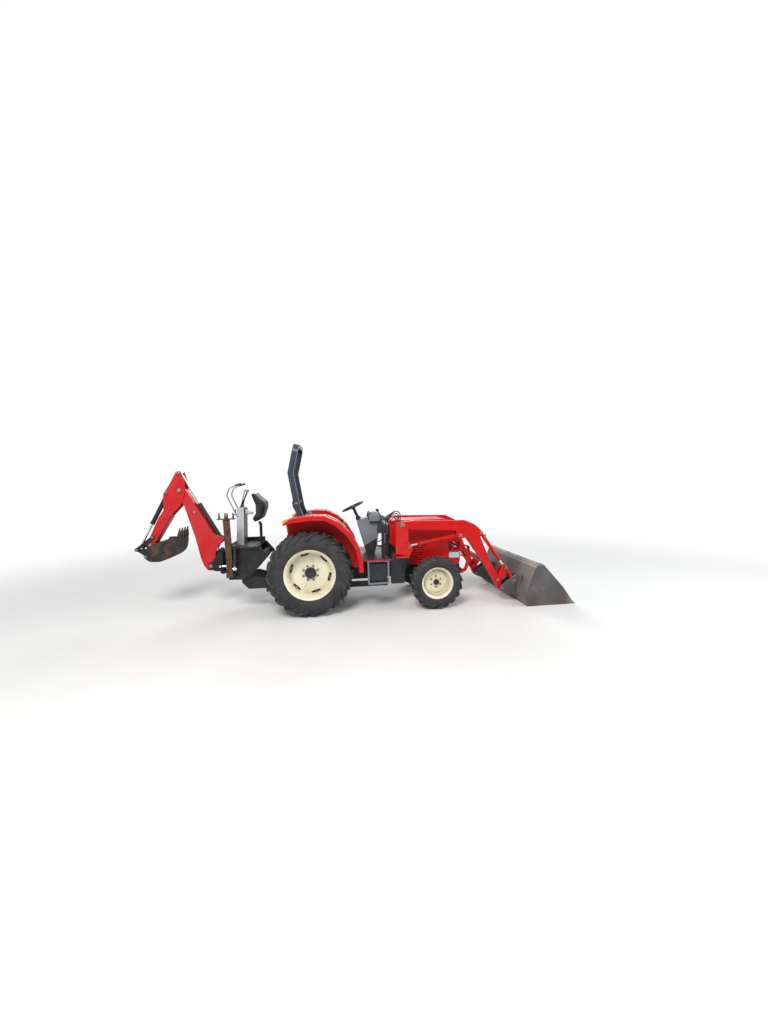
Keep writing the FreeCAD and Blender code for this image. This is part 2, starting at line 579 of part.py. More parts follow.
def make_tilt_linkage():
    """Rocker pair on each arm and the link from its top to the bucket."""
    y0 = ARM_Y + ARM_W / 2 + SIDE_GAP
    low, top = ROCKER_PIN, ROCKER_TOP
    shape = [(low[0] - 36, low[1] - 34, 30), (low[0] + 38, low[1] - 40, 28), (low[0] + 94, low[1] + 44, 50),
             (top[0] + 44, top[1] - 30, 40), (top[0] + 46, top[1] + 30, 40), (top[0] - 26, top[1] + 44, 40),
             (top[0] - 64, top[1] + 10, 40), (low[0] + 2, low[1] + 60, 60), (low[0] - 40, low[1] + 8, 30)]
    sides = [plate(shape, y0, y0 + 14), plate(shape, 2 * ARM_Y - y0 - 14, 2 * ARM_Y - y0)]
    plates = []
    for side in sides:
        side = side.cut(pin(ROCKER_PIN, 13 + RUNNING_GAP, 0, 900))
        plates += [side, mirror(side)]
    save("tilt_rockers", Part.makeCompound(plates))
    y2 = y0 + 14 + SIDE_GAP
    bars = []
    for lo, hi in ((y2, y2 + 12), (2 * ARM_Y - y2 - 12, 2 * ARM_Y - y2)):
        head = (hi, hi + 2) if lo > ARM_Y else (lo - 2, lo)
        bar = fuse(beam(ROCKER_TOP, LINK_LOW, 44, lo, hi), pin(ROCKER_TOP, 28, lo, hi), pin(LINK_LOW, 28, lo, hi),
                   pin(ROCKER_TOP, 18, head[0] - 1, head[1] + 1))
        bar = bar.cut(pin(LINK_LOW, 13 + RUNNING_GAP, 0, 900))
        bars += [bar, mirror(bar)]
    save("tilt_links", Part.makeCompound(bars))


def make_loader_bucket():
    t = BUCKET_T
    heel, lip, top = BUCKET_HEEL, BUCKET_LIP, BUCKET_TOP
    outline = [(lip, 0), (heel + 18, 0, 26), (heel - 26, 150, 150), (top[0] - 62, top[1] - 60, 40), top,
               (top[0] + 60, top[1] - 14, 20), (lip - 212, 276, 60), (lip - 60, 60)]
    shell = plate(outline, -BUCKET_HALF, BUCKET_HALF)
    hollow = plate([(lip + 50, t + 4), (heel + 26, t + 4, 22), (heel - 14, 152, 140), (top[0] - 50, top[1] - 66, 30),
                    (top[0] + 4, top[1] + 30), (lip + 50, 700)], -BUCKET_HALF + t, BUCKET_HALF - t)
    tub = shell.cut(hollow)
    rim_bar = plate([(top[0] - 44, top[1] - 40), (top[0] + 24, top[1] - 12), (top[0] + 24, top[1] + 8),
                     (top[0] - 16, top[1] + 8)], -BUCKET_HALF, BUCKET_HALF)
    y_in, y_out = ARM_Y - EAR_SPREAD, ARM_Y + EAR_SPREAD
    ears = []
    for s in (-1, 1):
        for y in (y_in, y_out):
            lo, hi = sorted((s * (y - 7), s * (y + 7)))
            ear = plate([(BUCKET_PIN[0] - 34, BUCKET_PIN[1] - 34, 30), (BUCKET_PIN[0] + 30, BUCKET_PIN[1] - 60, 20),
                         (heel + 20, 60), (heel + 60, 430), (heel - 32, 440, 20), (heel - 112, 385, 30),
                         (BUCKET_PIN[0] - 20, BUCKET_PIN[1] + 40, 30)], lo, hi)
            ears.append(ear)
        lo, hi = sorted((s * (y_in - 40), s * (y_out + 40)))
        ears.append(plate([(heel - 34, 110), (heel - 12, 110), (heel + 62, 430), (heel + 40, 430)], lo, hi))
        ears.append(pin(LINK_LOW, 13, lo + 34, hi - 34))
    whole = fuse(tub, rim_bar, *ears)
    whole = whole.cut(hollow)
    whole = whole.cut(pin(BUCKET_PIN, 14 + RUNNING_GAP, -900, 900))
    save("loader_bucket", whole)


# Body panels and controls
FENDER = [(-352, 1378), (-250, 1452), (30, 1486), (240, 1480), (420, 1390), (590, 1230), (720, 1010), (772, 800),
          (776, 640)]


def make_fenders():
    t = 8.0
    y_in, y_out = FENDER_IN, REAR_HALF_TRACK + REAR_TYRE_W / 2 + 4
    inner_path = [(x + dx, z + dz) for (x, z), (dx, dz) in zip(FENDER, (
        (4, -7), (3, -8), (0, -8), (-3, -8), (-6, -6), (-6, -5), (-7, -3), (-8, -1), (-8, 0)))]
    skin = plate(FENDER + inner_path[::-1], y_in, y_out)
    lip_path = [(x - dx, z - dz) for (x, z), (dx, dz) in zip(FENDER, (
        (0, 22), (0, 62), (0, 66), (10, 66), (46, 48), (52, 42), (60, 26), (64, 10), (64, 0)))]
    lip = plate(FENDER + lip_path[::-1], y_out - t, y_out)
    wall = plate(FENDER + [(640, 640), (600, 775), (-330, 1180)], y_in, y_in + t)
    fender = fuse(skin, lip, wall)
    foot = box(150, 600, y_in, y_in + t, 770, 900)
    save("fenders", both(fuse(fender, foot)))
    tail = plate([(-372, 1400, 8), (-330, 1436, 10), (-262, 1452), (-262, 1405), (-352, 1370)], 560, 700)
    tail = tail.cut(plate(FENDER + [(776, 300), (-352, 300)], 400, 900))
    save("rear_lamps", both(tail))


def make_platform():
    x0, x1 = FLOOR_X
    z = FLOOR_Z
    middle = FENDER_IN - SEAT
    deck = box(x0 + 10, x1, -middle, middle, z - 6, z + 4)
    edge = box(FENDER[-1][0] + 4, x1, -FLOOR_HALF - 6, FLOOR_HALF + 6, z - 10, FLOOR_TOP)
    hub = box(120, x0 + 20, -middle, middle, z + 85, z + 101)
    riser = box(x0 + 4, x0 + 20, -middle, middle, z - 6, z + 101)
    carry = [box(x, x + 40, -half, half, z - 60, z) for x, half in ((x0 + 60, middle), (x1 - 110, 560))]
    posts = [box(x, x + 40, y - 25, y + 25, 700 + SEAT, z - 30) for x in (x0 + 60, x1 - 110) for y in (-115, 115)]
    pedestal = box(SEAT_X - 130, SEAT_X + 150, -150, 150, z + 95, z + 250)
    pedestal = pedestal.fuse(box(SEAT_X - 40, SEAT_X + 60, -90, 90, z + 240, SEAT_Z - 36))
    steps = []
    for s in (-1, 1):
        y = s * (FLOOR_HALF - 10)
        lo, hi = sorted((y - 12, y + 12))
        frame = plate([(845, z - 5), (1178, z - 5), (1176, 405), (852, 405)], lo, hi)
        frame = frame.cut(plate([(869, z - 26), (1154, z - 26), (1152, 432), (875, 432)], lo - 1, hi + 1))
        tread = box(852, 1176, min(y, y - s * 90), max(y, y - s * 90), 405, 417)
        steps += [frame, tread]
    deck = fuse(deck, edge, hub, riser, *carry, *posts, pedestal, *steps)
    save("platform", deck)
    tank = box(870, 1150, 300, 560, 425, z - 62)
    tank = tank.makeFillet(34, [e for e in tank.Edges if abs(e.tangentAt(e.FirstParameter).y) > 0.9])
    straps = box(940, 1010, 140.3, 310, 520, 560)
    save("fuel_tanks", both(fuse(tank, straps)))


def cushion(x0, x1, half, z0, z1, r):
    pad = box(x0, x1, -half, half, z0, z1)
    return pad.makeFillet(r, pad.Edges)


def make_seats():
    x, z = SEAT_X, SEAT_Z
    pan = cushion(x - 210, x + 240, 235, z - 36 + 0.3, z + 60, 24)
    back = cushion(x - 250, x - 160, 215, z + 30, z + 330, 24)
    back = back.rotated(V(x - 200, 0, z + 40), V(0, 1, 0), -10)
    save("seat", fuse(pan, back))


def make_dash():
    low = plate([(888, FLOOR_TOP + SEAT), (1010, FLOOR_TOP + SEAT), (1120, 1300, 60), (1110, 1400), (930, 1395, 40),
                 (735, 1335, 30), (745, 1290, 30)], -150, 150)
    low = low.common(front_plate([(-150, 700), (150, 700), (150, 1120, 200), (106, 1420), (-106, 1420),
                                  (-150, 1120, 200)], 700, 1200))
    cowl = plate([(920, 1330), (1150, 1330), (1190, 1390), (1020, 1480, 30), (930, 1465, 30)], -205, 205)
    cowl = cowl.common(front_plate([(-205, 1300), (205, 1300), (205, 1420, 40), (150, 1500, 60), (-150, 1500, 60),
                                    (-205, 1420, 40)], 900, 1200))
    wall = box(1180, 1226, -250, 250, FLOOR_TOP + SEAT, 1290)
    hx, hz = HOOD_HINGE
    ear = [(1200, 1250), (hx + 14, 1250), (hx + 15, hz, 12), (hx, hz + 13, 12), (hx - 15, hz, 10), (hx - 22, hz - 28),
           (1200, hz - 34)]
    lugs = [plate(ear, s * 158 - 8, s * 158 + 8) for s in (-1, 1)]
    shelf = box(1110, 1200, -200, 200, 1270, 1290)
    whole = fuse(low, cowl, wall, shelf, *lugs, pin(HOOD_HINGE, 8, -166, -128), pin(HOOD_HINGE, 8, 128, 166))
    tilt = math.radians(WHEEL_TILT)
    centre = V(WHEEL_AT[0], 0, WHEEL_AT[1])
    axis = V(-math.sin(tilt), 0, math.cos(tilt))
    low_end = centre - axis * COLUMN
    whole = whole.cut(Part.makeCylinder(COLUMN_R + RUNNING_GAP, COLUMN, low_end - axis * SEAT, axis))
    save("dash_console", whole)
    wheel = Part.makeTorus(178, 14, centre, axis)
    spokes = [rod(tuple(centre - axis * 22), tuple(centre + V(math.cos(tilt), 0, math.sin(tilt)) * 176), 9)]
    for s in (-1, 1):
        spoke = V(-math.cos(tilt) * 0.5, s * 0.866, -math.sin(tilt) * 0.5) * 176
        spokes.append(rod(tuple(centre - axis * 22), tuple(centre + spoke), 9))
    hub = Part.makeCylinder(34, 34, centre - axis * 34, axis)
    column = Part.makeCylinder(COLUMN_R, COLUMN - 22, low_end, axis)
    save("steering_wheel", fuse(wheel, hub, column, *spokes))


def make_roll_bar():
    foot = [(BAR_FOOT[0] + 46, 700), (BAR_FOOT[0] + 46, 1260, 60), (BAR_HINGE[0] + 44, BAR_HINGE[1] - 46),
            (BAR_HINGE[0] - 44, BAR_HINGE[1] - 62), (BAR_FOOT[0] - 46, 1260, 60), (BAR_FOOT[0] - 46, 700)]
    leg = plate(foot, BAR_Y - BAR_W / 2 - 1, BAR_Y + BAR_W / 2 + 1)
    ears = []
    spread = BAR_W / 2 + SIDE_GAP
    ear = [(BAR_HINGE[0] - 52, BAR_HINGE[1] - 70), (BAR_HINGE[0] + 52, BAR_HINGE[1] - 60),
           (BAR_HINGE[0] + 30, BAR_HINGE[1] + 56, 30), (BAR_HINGE[0] - 62, BAR_HINGE[1] + 40, 30)]
    for lo, hi in ((BAR_Y - spread - 10, BAR_Y - spread), (BAR_Y + spread, BAR_Y + spread + 10)):
        ears.append(plate(ear, lo, hi))
    leg = fuse(leg, *ears, pin(BAR_HINGE, 12, BAR_Y - spread - 12, BAR_Y + spread + 12))
    leg = leg.cut(pin((0, REAR_TYRE_R), 105 + SEAT, 300, 500))
    save("rops_posts", both(leg))
    run = V(BAR_TOP[0] - BAR_BEND[0], 0, BAR_TOP[1] - BAR_BEND[1])
    turn_r = 120.0
    lean = math.degrees(math.atan2(run.x, run.z))
    up = run.Length
    corner_r = [(-BAR_Y - BAR_W / 2, -10), (-BAR_Y - BAR_W / 2, up + BAR_W / 2, turn_r + BAR_W / 2),
                (BAR_Y + BAR_W / 2, up + BAR_W / 2, turn_r + BAR_W / 2), (BAR_Y + BAR_W / 2, -10),
                (BAR_Y - BAR_W / 2, -10), (BAR_Y - BAR_W / 2, up - BAR_W / 2, turn_r - BAR_W / 2),
                (-BAR_Y + BAR_W / 2, up - BAR_W / 2, turn_r - BAR_W / 2), (-BAR_Y + BAR_W / 2, -10)]
    arch = front_plate(corner_r, -BAR_D / 2, BAR_D / 2).rotated(V(0, 0, 0), V(0, 1, 0), lean)
    arch = arch.translated(V(BAR_BEND[0], 0, BAR_BEND[1]))
    legs = []
    for s in (-1, 1):
        lo, hi = s * BAR_Y - BAR_W / 2, s * BAR_Y + BAR_W / 2
        leg = fuse(beam(BAR_HINGE, BAR_BEND, BAR_D, lo, hi, 12), pin(BAR_HINGE, BAR_D / 2, lo, hi))
        legs.append(leg)
    hoop = fuse(arch, *legs)
    hoop = hoop.cut(pin(BAR_HINGE, 12 + RUNNING_GAP, -900, 900))
    save("rops_hoop", hoop)


def lever(path, r, knob):
    stem = pipe(path, r)
    end = path[-1]
    return fuse(stem, Part.makeSphere(knob, V(*end[:3])))


def make_controls():
    parts = []
    wall = FENDER_IN - 7 - SEAT
    for x, h in ((470, 1375), (505, 1350)):
        parts.append(lever([(x - 40, -wall, 1150, 0), (x - 40, -wall + 8, 1260, 40), (x + 20, -wall + 8, h, 0)], 7, 17))
    stand = box(1090, 1130, -445, -405, FLOOR_TOP + SEAT, 1180)
    valve = box(1030, 1180, -470, -390, 1165, 1290)
    stick = lever([(1100, -440, 1280, 0), (1085, -440, 1420, 60), (1030, -440, 1520, 0)], 8, 22)
    inner = ARM_Y - ARM_W / 2 - SIDE_GAP - 12
    lines = []
    for i in range(4):
        x, y, top, down = 1050 + 34 * i, -398 - 9 * i, 1505 - 26 * i, 1396 - 26 * i
        lines.append(pipe([(x, y, 1285, 0), (x, y, 1345 - 10 * i, 50), (down - 70, y, top, 70), (down, y, top - 40, 60),
                           (down, y, 1180 + 20 * i, 22), (down, -inner + SEAT, 1180 + 20 * i, 0)], 8))
    parts.append(fuse(stand, valve, stick, *lines))
    for y in (-70, -25, 25, 70):
        parts.append(lever([(-1072, y, CONSOLE_TOP + 1.5, 0), (-1060, y, 1660, 30),
                            (-960 - abs(y) * 0.6, y, 1858, 0)], 6, 17))
    save("control_levers", Part.makeCompound(parts))


# Digging arm
def make_hoe_frame():
    y = HOE_FRAME_Y
    side = [(-1238, 512), (-1060, 506), (-925, 545), (-705, 800), (-640, 850), (-770, 1010), (-1050, 985), (-1238, 985)]
    sides = [plate(side, y - 14, y), plate(side, -y, -y + 14)]
    column = box(-1238, -1060, -y, y, 512, 985)
    hollow = box(-1226, -1072, -y + 30, y - 30, 560, 940)
    column = column.cut(hollow)
    cross = box(-780, -700, -y, y, 820, 900)
    deck = box(-1165, -795, -350, 350, 985, 1012)
    kick = fuse(box(-1165, -1150, -350, 350, 1000, 1072), box(-1165, -800, 335, 350, 1000, 1074))
    ears = []
    for z0, z1 in ((560, 600), (905, 945)):
        ear = fuse(box(SWING_X, -1230, -46, 46, z0, z1), rod((SWING_X, 0, z0), (SWING_X, 0, z1), 46))
        ears.append(ear)
    pin_bar = rod((SWING_X, 0, 545), (SWING_X, 0, 965), 24)
    arm = [plate([(-1062, 540), (-900, 540), (-690, 480), (-640, 380), (-640, 345), (-965, 345), (-1062, 450)],
                 s * 250 - 9, s * 250 + 9) for s in (-1, 1)]
    rails = [box(-700, 1200, s * 250 - 30, s * 250 + 30, 290, 370) for s in (-1, 1)]
    hooks = [box(1130, 1200, min(s * 100, s * 280), max(s * 100, s * 280), 300, 400 - SEAT) for s in (-1, 1)]
    post = fuse(rod((-797, 0, 1000), (-797, 0, 1330), 22), pin(HOE_SEAT_PIN, 18, -30, 30),
                plate([(-819, 1320), (-775, 1320), (-794, 1352), (-829, 1350)], -22, 22),
                pin(HOE_SEAT_PIN, 10, -48, 48))
    swing_tubes = []
    for s in (-1, 1):
        tube = rod((-1230, s * SWING_ROD_Y, 690), (-940, s * SWING_ROD_Y, 690), 30)
        swing_tubes.append(tube)
    pivots = []
    for s in (-1, 1):
        yy, zz = s * STAB_PIVOT[0], STAB_PIVOT[1]
        pivots.append(rod((STAB_X - STAB_W / 2 - 22, yy, zz), (STAB_X + STAB_W / 2 + 22, yy, zz), 18))
        for xx in (STAB_X - STAB_W / 2 - SIDE_GAP - 14, STAB_X + STAB_W / 2 + SIDE_GAP):
            lo, hi = sorted((s * (y - 30), s * (STAB_PIVOT[0] + 30)))
            pivots.append(box(xx, xx + 14, lo, hi, zz - 34, zz + 34))
        by, bz = s * STAB_BASE[0], STAB_BASE[1]
        for xx in (STAB_CYL_X - STAB_BARREL_R - SIDE_GAP - 12, STAB_CYL_X + STAB_BARREL_R + SIDE_GAP):
            lo, hi = sorted((s * 330, by + s * 24))
            pivots.append(box(xx, xx + 12, lo, hi, 1000, bz + 24))
        pivots.append(rod((STAB_CYL_X - 38, by, bz), (STAB_CYL_X + 38, by, bz), 12))
    whole = fuse(column, *sides, cross, deck, kick, *ears, pin_bar, *arm, *rails, *hooks, post, *swing_tubes, *pivots)
    for s in (-1, 1):
        bore = rod((-1310, s * SWING_ROD_Y, 690), (-950, s * SWING_ROD_Y, 690), SWING_ROD_R + RUNNING_GAP)
        whole = whole.cut(bore)
    save("hoe_frame", whole)
    console = plate([(-1150, 1012.3), (-1035, 1012.3), (-1018, CONSOLE_TOP, 14), (-1122, CONSOLE_TOP, 14)],
                    -120, 120)
    console = fuse(console, plate([(-1022, 1560), (-920, 1510, 10), (-925, 1480, 10), (-1024, 1500)], -60, 60))
    for s in (-1, 1):
        grip = pipe([(-1110, s * 110, 1420, 0), (-1165, s * 132, 1560, 60), (-1262, s * 132, 1790, 70),
                     (-1220, s * 132, 1900, 70), (-1045, s * 132, 1962, 0)], 11)
        console = fuse(console, grip)
    save("hoe_console", console)


def make_hoe_swing():
    f = BOOM_FOOT
    half = BOOM_HALF + SIDE_GAP
    post = rod((SWING_X, 0, 602), (SWING_X, 0, 903), 46)
    outline = [(-1380, 602), (-1380, 903), (-1440, 903), (-1530, 760, 40), (f[0] - 44, f[1] + 30, 40),
               (f[0] - 36, f[1] - 50, 40), (-1480, 602)]
    walls = [plate(outline, half, half + 16), plate(outline, -half - 16, -half)]
    web = plate([(-1385, 602), (-1385, 903), (-1436, 903), (-1442, 850, 20), (-1468, 790, 20), (-1468, 602)],
                -half - 1, half + 1)
    c = BOOM_CYL_LOW
    horn = plate([(-1440, 700), (-1440, 898), (-1453, 908), (c[0] + 26, c[1] + 10, 20), (c[0], c[1] + 26, 24),
                  (c[0] - 26, c[1] + 8, 20), (c[0] - 14, c[1] - 52, 40), (-1460, 800), (-1460, 700)], -19, 19)
    lugs = []
    for s in (-1, 1):
        lo, hi = sorted((s * 50, s * (SWING_ROD_Y + 24)))
        lugs.append(box(SWING_X - 30, SWING_X + 30, lo, hi, 654, 669))
    body = fuse(post, web, *walls, pin(f, 16, -half - 20, half + 20), horn, *lugs)
    body = body.cut(rod((SWING_X, 0, 500), (SWING_X, 0, 1000), 24 + RUNNING_GAP))
    save("hoe_swing_post", body)
    for name, s in (("left", 1), ("right", -1)):
        bar = fuse(rod((SWING_X, s * SWING_ROD_Y, 690), (-1085, s * SWING_ROD_Y, 690), SWING_ROD_R),
                   rod((SWING_X, s * SWING_ROD_Y, 674), (SWING_X, s * SWING_ROD_Y, 708), 26))
        save("swing_rod_%s" % name, bar)


def make_hoe_boom():
    f, t = BOOM_FOOT, BOOM_TIP
    outline = [(-1516, 625, 30), (-1480, 930), (-1438, 1015, 20), (-1362, 1072, 30), (-1386, 1148, 24), (-1500, 1196),
               (-1673, 1504), (-1826, 1795), (-1905, 1920, 60), (-2004, 1910, 60), (-1985, 1770), (-1911, 1646),
               (-1773, 1149), (-1708, 824), (-1668, 700), (-1612, 616, 40)]
    body = plate(outline, -BOOM_HALF, BOOM_HALF)
    wall = 12.0
    room = [(-1300, 700), (-1300, 1240), (-1480, 1230), (-1660, 1560), (-1740, 1700), (-1810, 1640), (-1772, 1440),
            (-1702, 1140), (-1640, 850), (-1588, 760), (-1530, 760)]
    body = body.cut(plate(room, -BOOM_HALF + wall, BOOM_HALF - wall))
    body = fuse(body, pin(BOOM_HORN, 13, -BOOM_HALF, BOOM_HALF), pin(BOOM_CYL_TOP, 12, -BOOM_HALF - 8, BOOM_HALF + 8))
    body = body.cut(pin(f, 16 + RUNNING_GAP, -300, 300))
    body = body.cut(pin(t, 18 + RUNNING_GAP, -300, 300))
    save("hoe_boom", body)
    save("boom_barrel", barrel(BOOM_CYL_TOP, BOOM_CYL_LOW, 0, 28, 16, 500, 12, 30))
    save("boom_rod", fork_rod(BOOM_CYL_TOP, BOOM_CYL_LOW, 16, 70, 12))


def fork_rod(base, eye, rod_r, inside, pin_r):
    """A rod that ends in a fork over a single lug, with a pin head each side."""
    start, end = toward(base, eye, inside), toward(eye, base, 46)
    blocks = []
    for lo, hi in ((-34, -20), (20, 34)):
        blocks.append(fuse(pin(eye, pin_r + 14, lo, hi), beam(eye, end, 50, lo, hi)))
        blocks.append(pin(eye, pin_r, min(lo, hi) - 6 if lo < 0 else lo, hi + 6 if hi > 0 else hi))
    root = beam(toward(eye, base, 42), toward(eye, base, 64), 50, -34, 34)
    stem = rod((start[0], 0, start[1]), (end[0], 0, end[1]), rod_r)
    return fuse(stem, root, *blocks)


def make_dipper():
    inner = BOOM_HALF + SIDE_GAP
    outline = [(-1990, 2168, 20), (-1925, 2172, 24), (-1878, 1992, 60), (-1884, 1827, 120), (-1951, 1656, 120),
               (-2102, 1497, 60), (-2350, 1086, 10), (-2372, 1030, 36), (-2440, 1040, 36), (-2456, 1101, 20),
               (-2284, 1462, 60), (-2204, 1581, 60), (-2193, 1834, 60), (-2104, 1963)]
    sides = [plate(outline, inner, inner + DIP_T), plate(outline, -inner - DIP_T, -inner)]
    core = plate([(-2102, 1480), (-2346, 1086), (-2380, 1066), (-2436, 1090), (-2284, 1440), (-2226, 1550),
                  (-2150, 1560)], -inner - 1, inner + 1)
    tie = plate([(-2060, 1990), (-2030, 1990), (-2110, 1900), (-2140, 1900)], -inner - 1, inner + 1)
    whole = fuse(*sides, core, tie, pin(BOOM_TIP, 18, -DIP_HALF - 10, DIP_HALF + 10),
                 pin(DIP_TOP, 20, inner + DIP_T - 1, DIP_HALF + 8), pin(DIP_TOP, 20, -DIP_HALF - 8, -inner - DIP_T + 1),
                 pin(DIP_CYL, 13, -DIP_HALF - 8, DIP_HALF + 8),
                 pin(GUIDE_PIN, 13, -99, 99), pin(HOE_PIN, 16, -118, 118))
    save("dipper", whole)
    save("dipper_barrel", barrel(BOOM_HORN, DIP_TOP, 0, 32, 18, 650, 13, 40))
    save("dipper_rod", piston_rod(BOOM_HORN, DIP_TOP, 0, 18, 540, 13, 40))
    save("hoe_bucket_barrel", barrel(DIP_CYL, ROD_PIN, 0, 32, 17, 545, 13, 40))
    save("hoe_bucket_rod", piston_rod(DIP_CYL, ROD_PIN, 0, 17, 440, 13, 30))


def make_hoe_bucket():
    y0 = DIP_HALF + 4
    guides = []
    for lo, hi in ((y0, y0 + 12), (-y0 - 12, -y0)):
        bar = fuse(beam(GUIDE_PIN, ROD_PIN, 46, lo, hi), pin(GUIDE_PIN, 28, lo, hi), pin(ROD_PIN, 28, lo, hi),
                   pin(ROD_PIN, 18, lo - 8 if lo < 0 else lo, hi if lo < 0 else hi + 8))
        guides.append(bar.cut(pin(GUIDE_PIN, 13 + RUNNING_GAP, -900, 900)))
    save("guide_links", Part.makeCompound(guides))
    lo, hi = 46.0, 62.0
    link = []
    for a, b in ((lo, hi), (-hi, -lo)):
        bar = fuse(beam(ROD_PIN, HOE_EAR, 46, a, b), pin(ROD_PIN, 28, a, b), pin(HOE_EAR, 28, a, b))
        link.append(bar)
    link = fuse(*link, pin(HOE_EAR, 22, -lo - 2, lo + 2))
    link = link.cut(pin(HOE_EAR, 13 + RUNNING_GAP, -900, 900))
    mid = toward(ROD_PIN, HOE_EAR, reach(ROD_PIN, HOE_EAR) / 2 + 12)
    link = fuse(link, pin(mid, 12, -lo - 2, lo + 2))
    save("bucket_link", link)
    side = [(-2330, 970, 30), (-2250, 1112), (-2127, 1140), (-2092, 1190), (-1965, 1190), (-1955, 1101, 80),
            (-1986, 939, 160), (-2105, 858, 200), (-2259, 806, 120), (-2400, 812, 60), (-2440, 860, 30)]
    shell = plate(side, -HOE_HALF, HOE_HALF)
    inside = plate([(-2322, 975, 30), (-2244, 1118), (-2127, 1300), (-1975, 1300), (-1967, 1101, 70),
                    (-1998, 946, 150), (-2110, 870, 190), (-2259, 818, 110), (-2396, 824, 50), (-2428, 862, 20)],
                   -HOE_HALF + 10, HOE_HALF - 10)
    tub = shell.cut(inside)
    teeth = []
    for i in range(4):
        y = -HOE_HALF + 22 + i * (2 * HOE_HALF - 44) / 3
        teeth.append(plate([(-1976, 1150), (-1954, 1150), (-1950, 1304), (-1958, 1306), (-1984, 1200)], y - 16, y + 16))
    ears = []
    for s in (-1, 1):
        lo, hi = sorted((s * (DIP_HALF + 26), s * (DIP_HALF + 38)))
        ears.append(plate([(HOE_PIN[0] - 36, HOE_PIN[1] + 4, 30), (HOE_PIN[0], HOE_PIN[1] + 40, 30),
                           (HOE_PIN[0] + 60, HOE_PIN[1] + 20, 30), (-2245, 1105), (-2318, 972), (-2424, 862),
                           (-2400, 812), (-2440, 812, 20), (HOE_EAR[0] - 26, HOE_EAR[1] - 16, 30),
                           (HOE_EAR[0] - 20, HOE_EAR[1] + 34, 30)], lo, hi))
    bucket = fuse(tub, *teeth, *ears, pin(HOE_EAR, 13, -DIP_HALF - 38, DIP_HALF + 38))
    bucket = bucket.cut(pin(HOE_PIN, 16 + RUNNING_GAP, -900, 900))
    save("hoe_bucket", bucket)


def make_stabilizers():
    """Legs that fold up beside the frame, with their pads, drawn for the left side."""
    py, pz = STAB_PIVOT
    ty, tz = STAB_TOP
    x0, x1 = STAB_X - STAB_W / 2, STAB_X + STAB_W / 2
    along = V(0, ty - py, tz - pz).normalize()
    across = V(0, along.z, -along.y) * 34
    a, b = V(0, py, pz) + along * 20, V(0, ty, tz) + along * 4
    pts = [V(x0, p.y, p.z) for p in (a - across, b - across * 0.8, b + across * 0.8, a + across)]
    leg = Part.Face(Part.makePolygon(pts + pts[:1])).extrude(V(x1 - x0, 0, 0))
    leg = fuse(leg, rod((x0, py, pz), (x1, py, pz), 34))
    leg = leg.cut(rod((x0 - 1, py, pz), (x1 + 1, py, pz), 18 + RUNNING_GAP))
    pad = front_plate([(ty - 62, tz + 4), (ty + 44, tz + 4), (ty + 44, tz + 16), (ty - 62, tz + 16)],
                      STAB_X - 120, STAB_X + 120)
    fins = [front_plate([(ty - 40, tz + 14), (ty + 30, tz + 14), (ty + 6, tz + 100), (ty - 14, tz + 100)], x, x + 12)
            for x in (STAB_X - 104, STAB_X - 20, STAB_X + 8, STAB_X + 92)]
    ey, ez = STAB_EYE
    lug = front_plate([(py + 10, pz + 40), (ey + 18, ez - 26, 12), (ey + 20, ez + 24, 16), (py + 30, ez + 90)],
                      x1 - 12, x1)
    leg = fuse(leg, pad, *fins, lug, rod((x1 - 1, ey, ez), (x1 + 8, ey, ez), 20))
    save("stabilizer_left", leg)
    save("stabilizer_right", mirror(leg))
    tube = barrel(STAB_BASE, STAB_EYE, -STAB_CYL_X, STAB_BARREL_R - 3, 13, 308, 12, STAB_BARREL_R)
    stem = piston_rod(STAB_BASE, STAB_EYE, -STAB_CYL_X, 13, 42, 11, 20)
    for name, shape in (("barrel", tube), ("rod", stem)):
        shape = shape.rotated(V(0, 0, 0), V(0, 0, 1), 90)      # from lengthwise to crosswise
        save("stabilizer_%s_left" % name, shape)
        save("stabilizer_%s_right" % name, mirror(shape))


def make_hoe_seat():
    """The digging arm's seat, tipped up about its front edge."""
    pan = [(-893, 1400, 30), (-850, 1352, 20), (-745, 1425, 30), (-690, 1570), (-678, 1668, 30), (-790, 1770),
           (-850, 1830, 20), (-905, 1822, 24), (-838, 1630, 40), (-835, 1500, 40)]
    pad = plate(pan, -205, 205)
    px, pz = HOE_SEAT_PIN
    lugs = []
    for lo, hi in ((31, 42), (-42, -31)):
        lug = fuse(pin(HOE_SEAT_PIN, 20, lo, hi), plate([(px - 20, pz), (px + 20, pz), (px + 30, pz + 70),
                                                         (px - 20, pz + 70)], lo, hi))
        lugs.append(lug)
    save("hoe_seat", fuse(pad, *lugs).cut(pin(HOE_SEAT_PIN, 10 + RUNNING_GAP, -60, 60)))


def main():
    make_wheels()
    make_driveline()
    make_front_axle()
    make_front_frame()
    make_hood()
    make_guard()
    make_loader_frame()
    make_loader_boom()
    make_loader_cylinders()
    make_tilt_linkage()
    make_loader_bucket()
    make_fenders()
    make_platform()
    make_seats()
    make_dash()
    make_roll_bar()
    make_controls()
    make_hoe_frame()
    make_hoe_swing()
    make_hoe_boom()
    make_dipper()
    make_hoe_bucket()
    make_stabilizers()
    make_hoe_seat()


main()
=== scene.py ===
# %% [markdown]
# This file dresses a compact farm tractor with a front loader and a rear digging arm.
# Its solids come packed with their joints, and every surface made here goes where those solids
# say. The first step loads them. Nothing that is added later may stick out of it.

# %% Load the imported solids
import json
import math

import bmesh
import bpy
from mathutils import Matrix, Vector


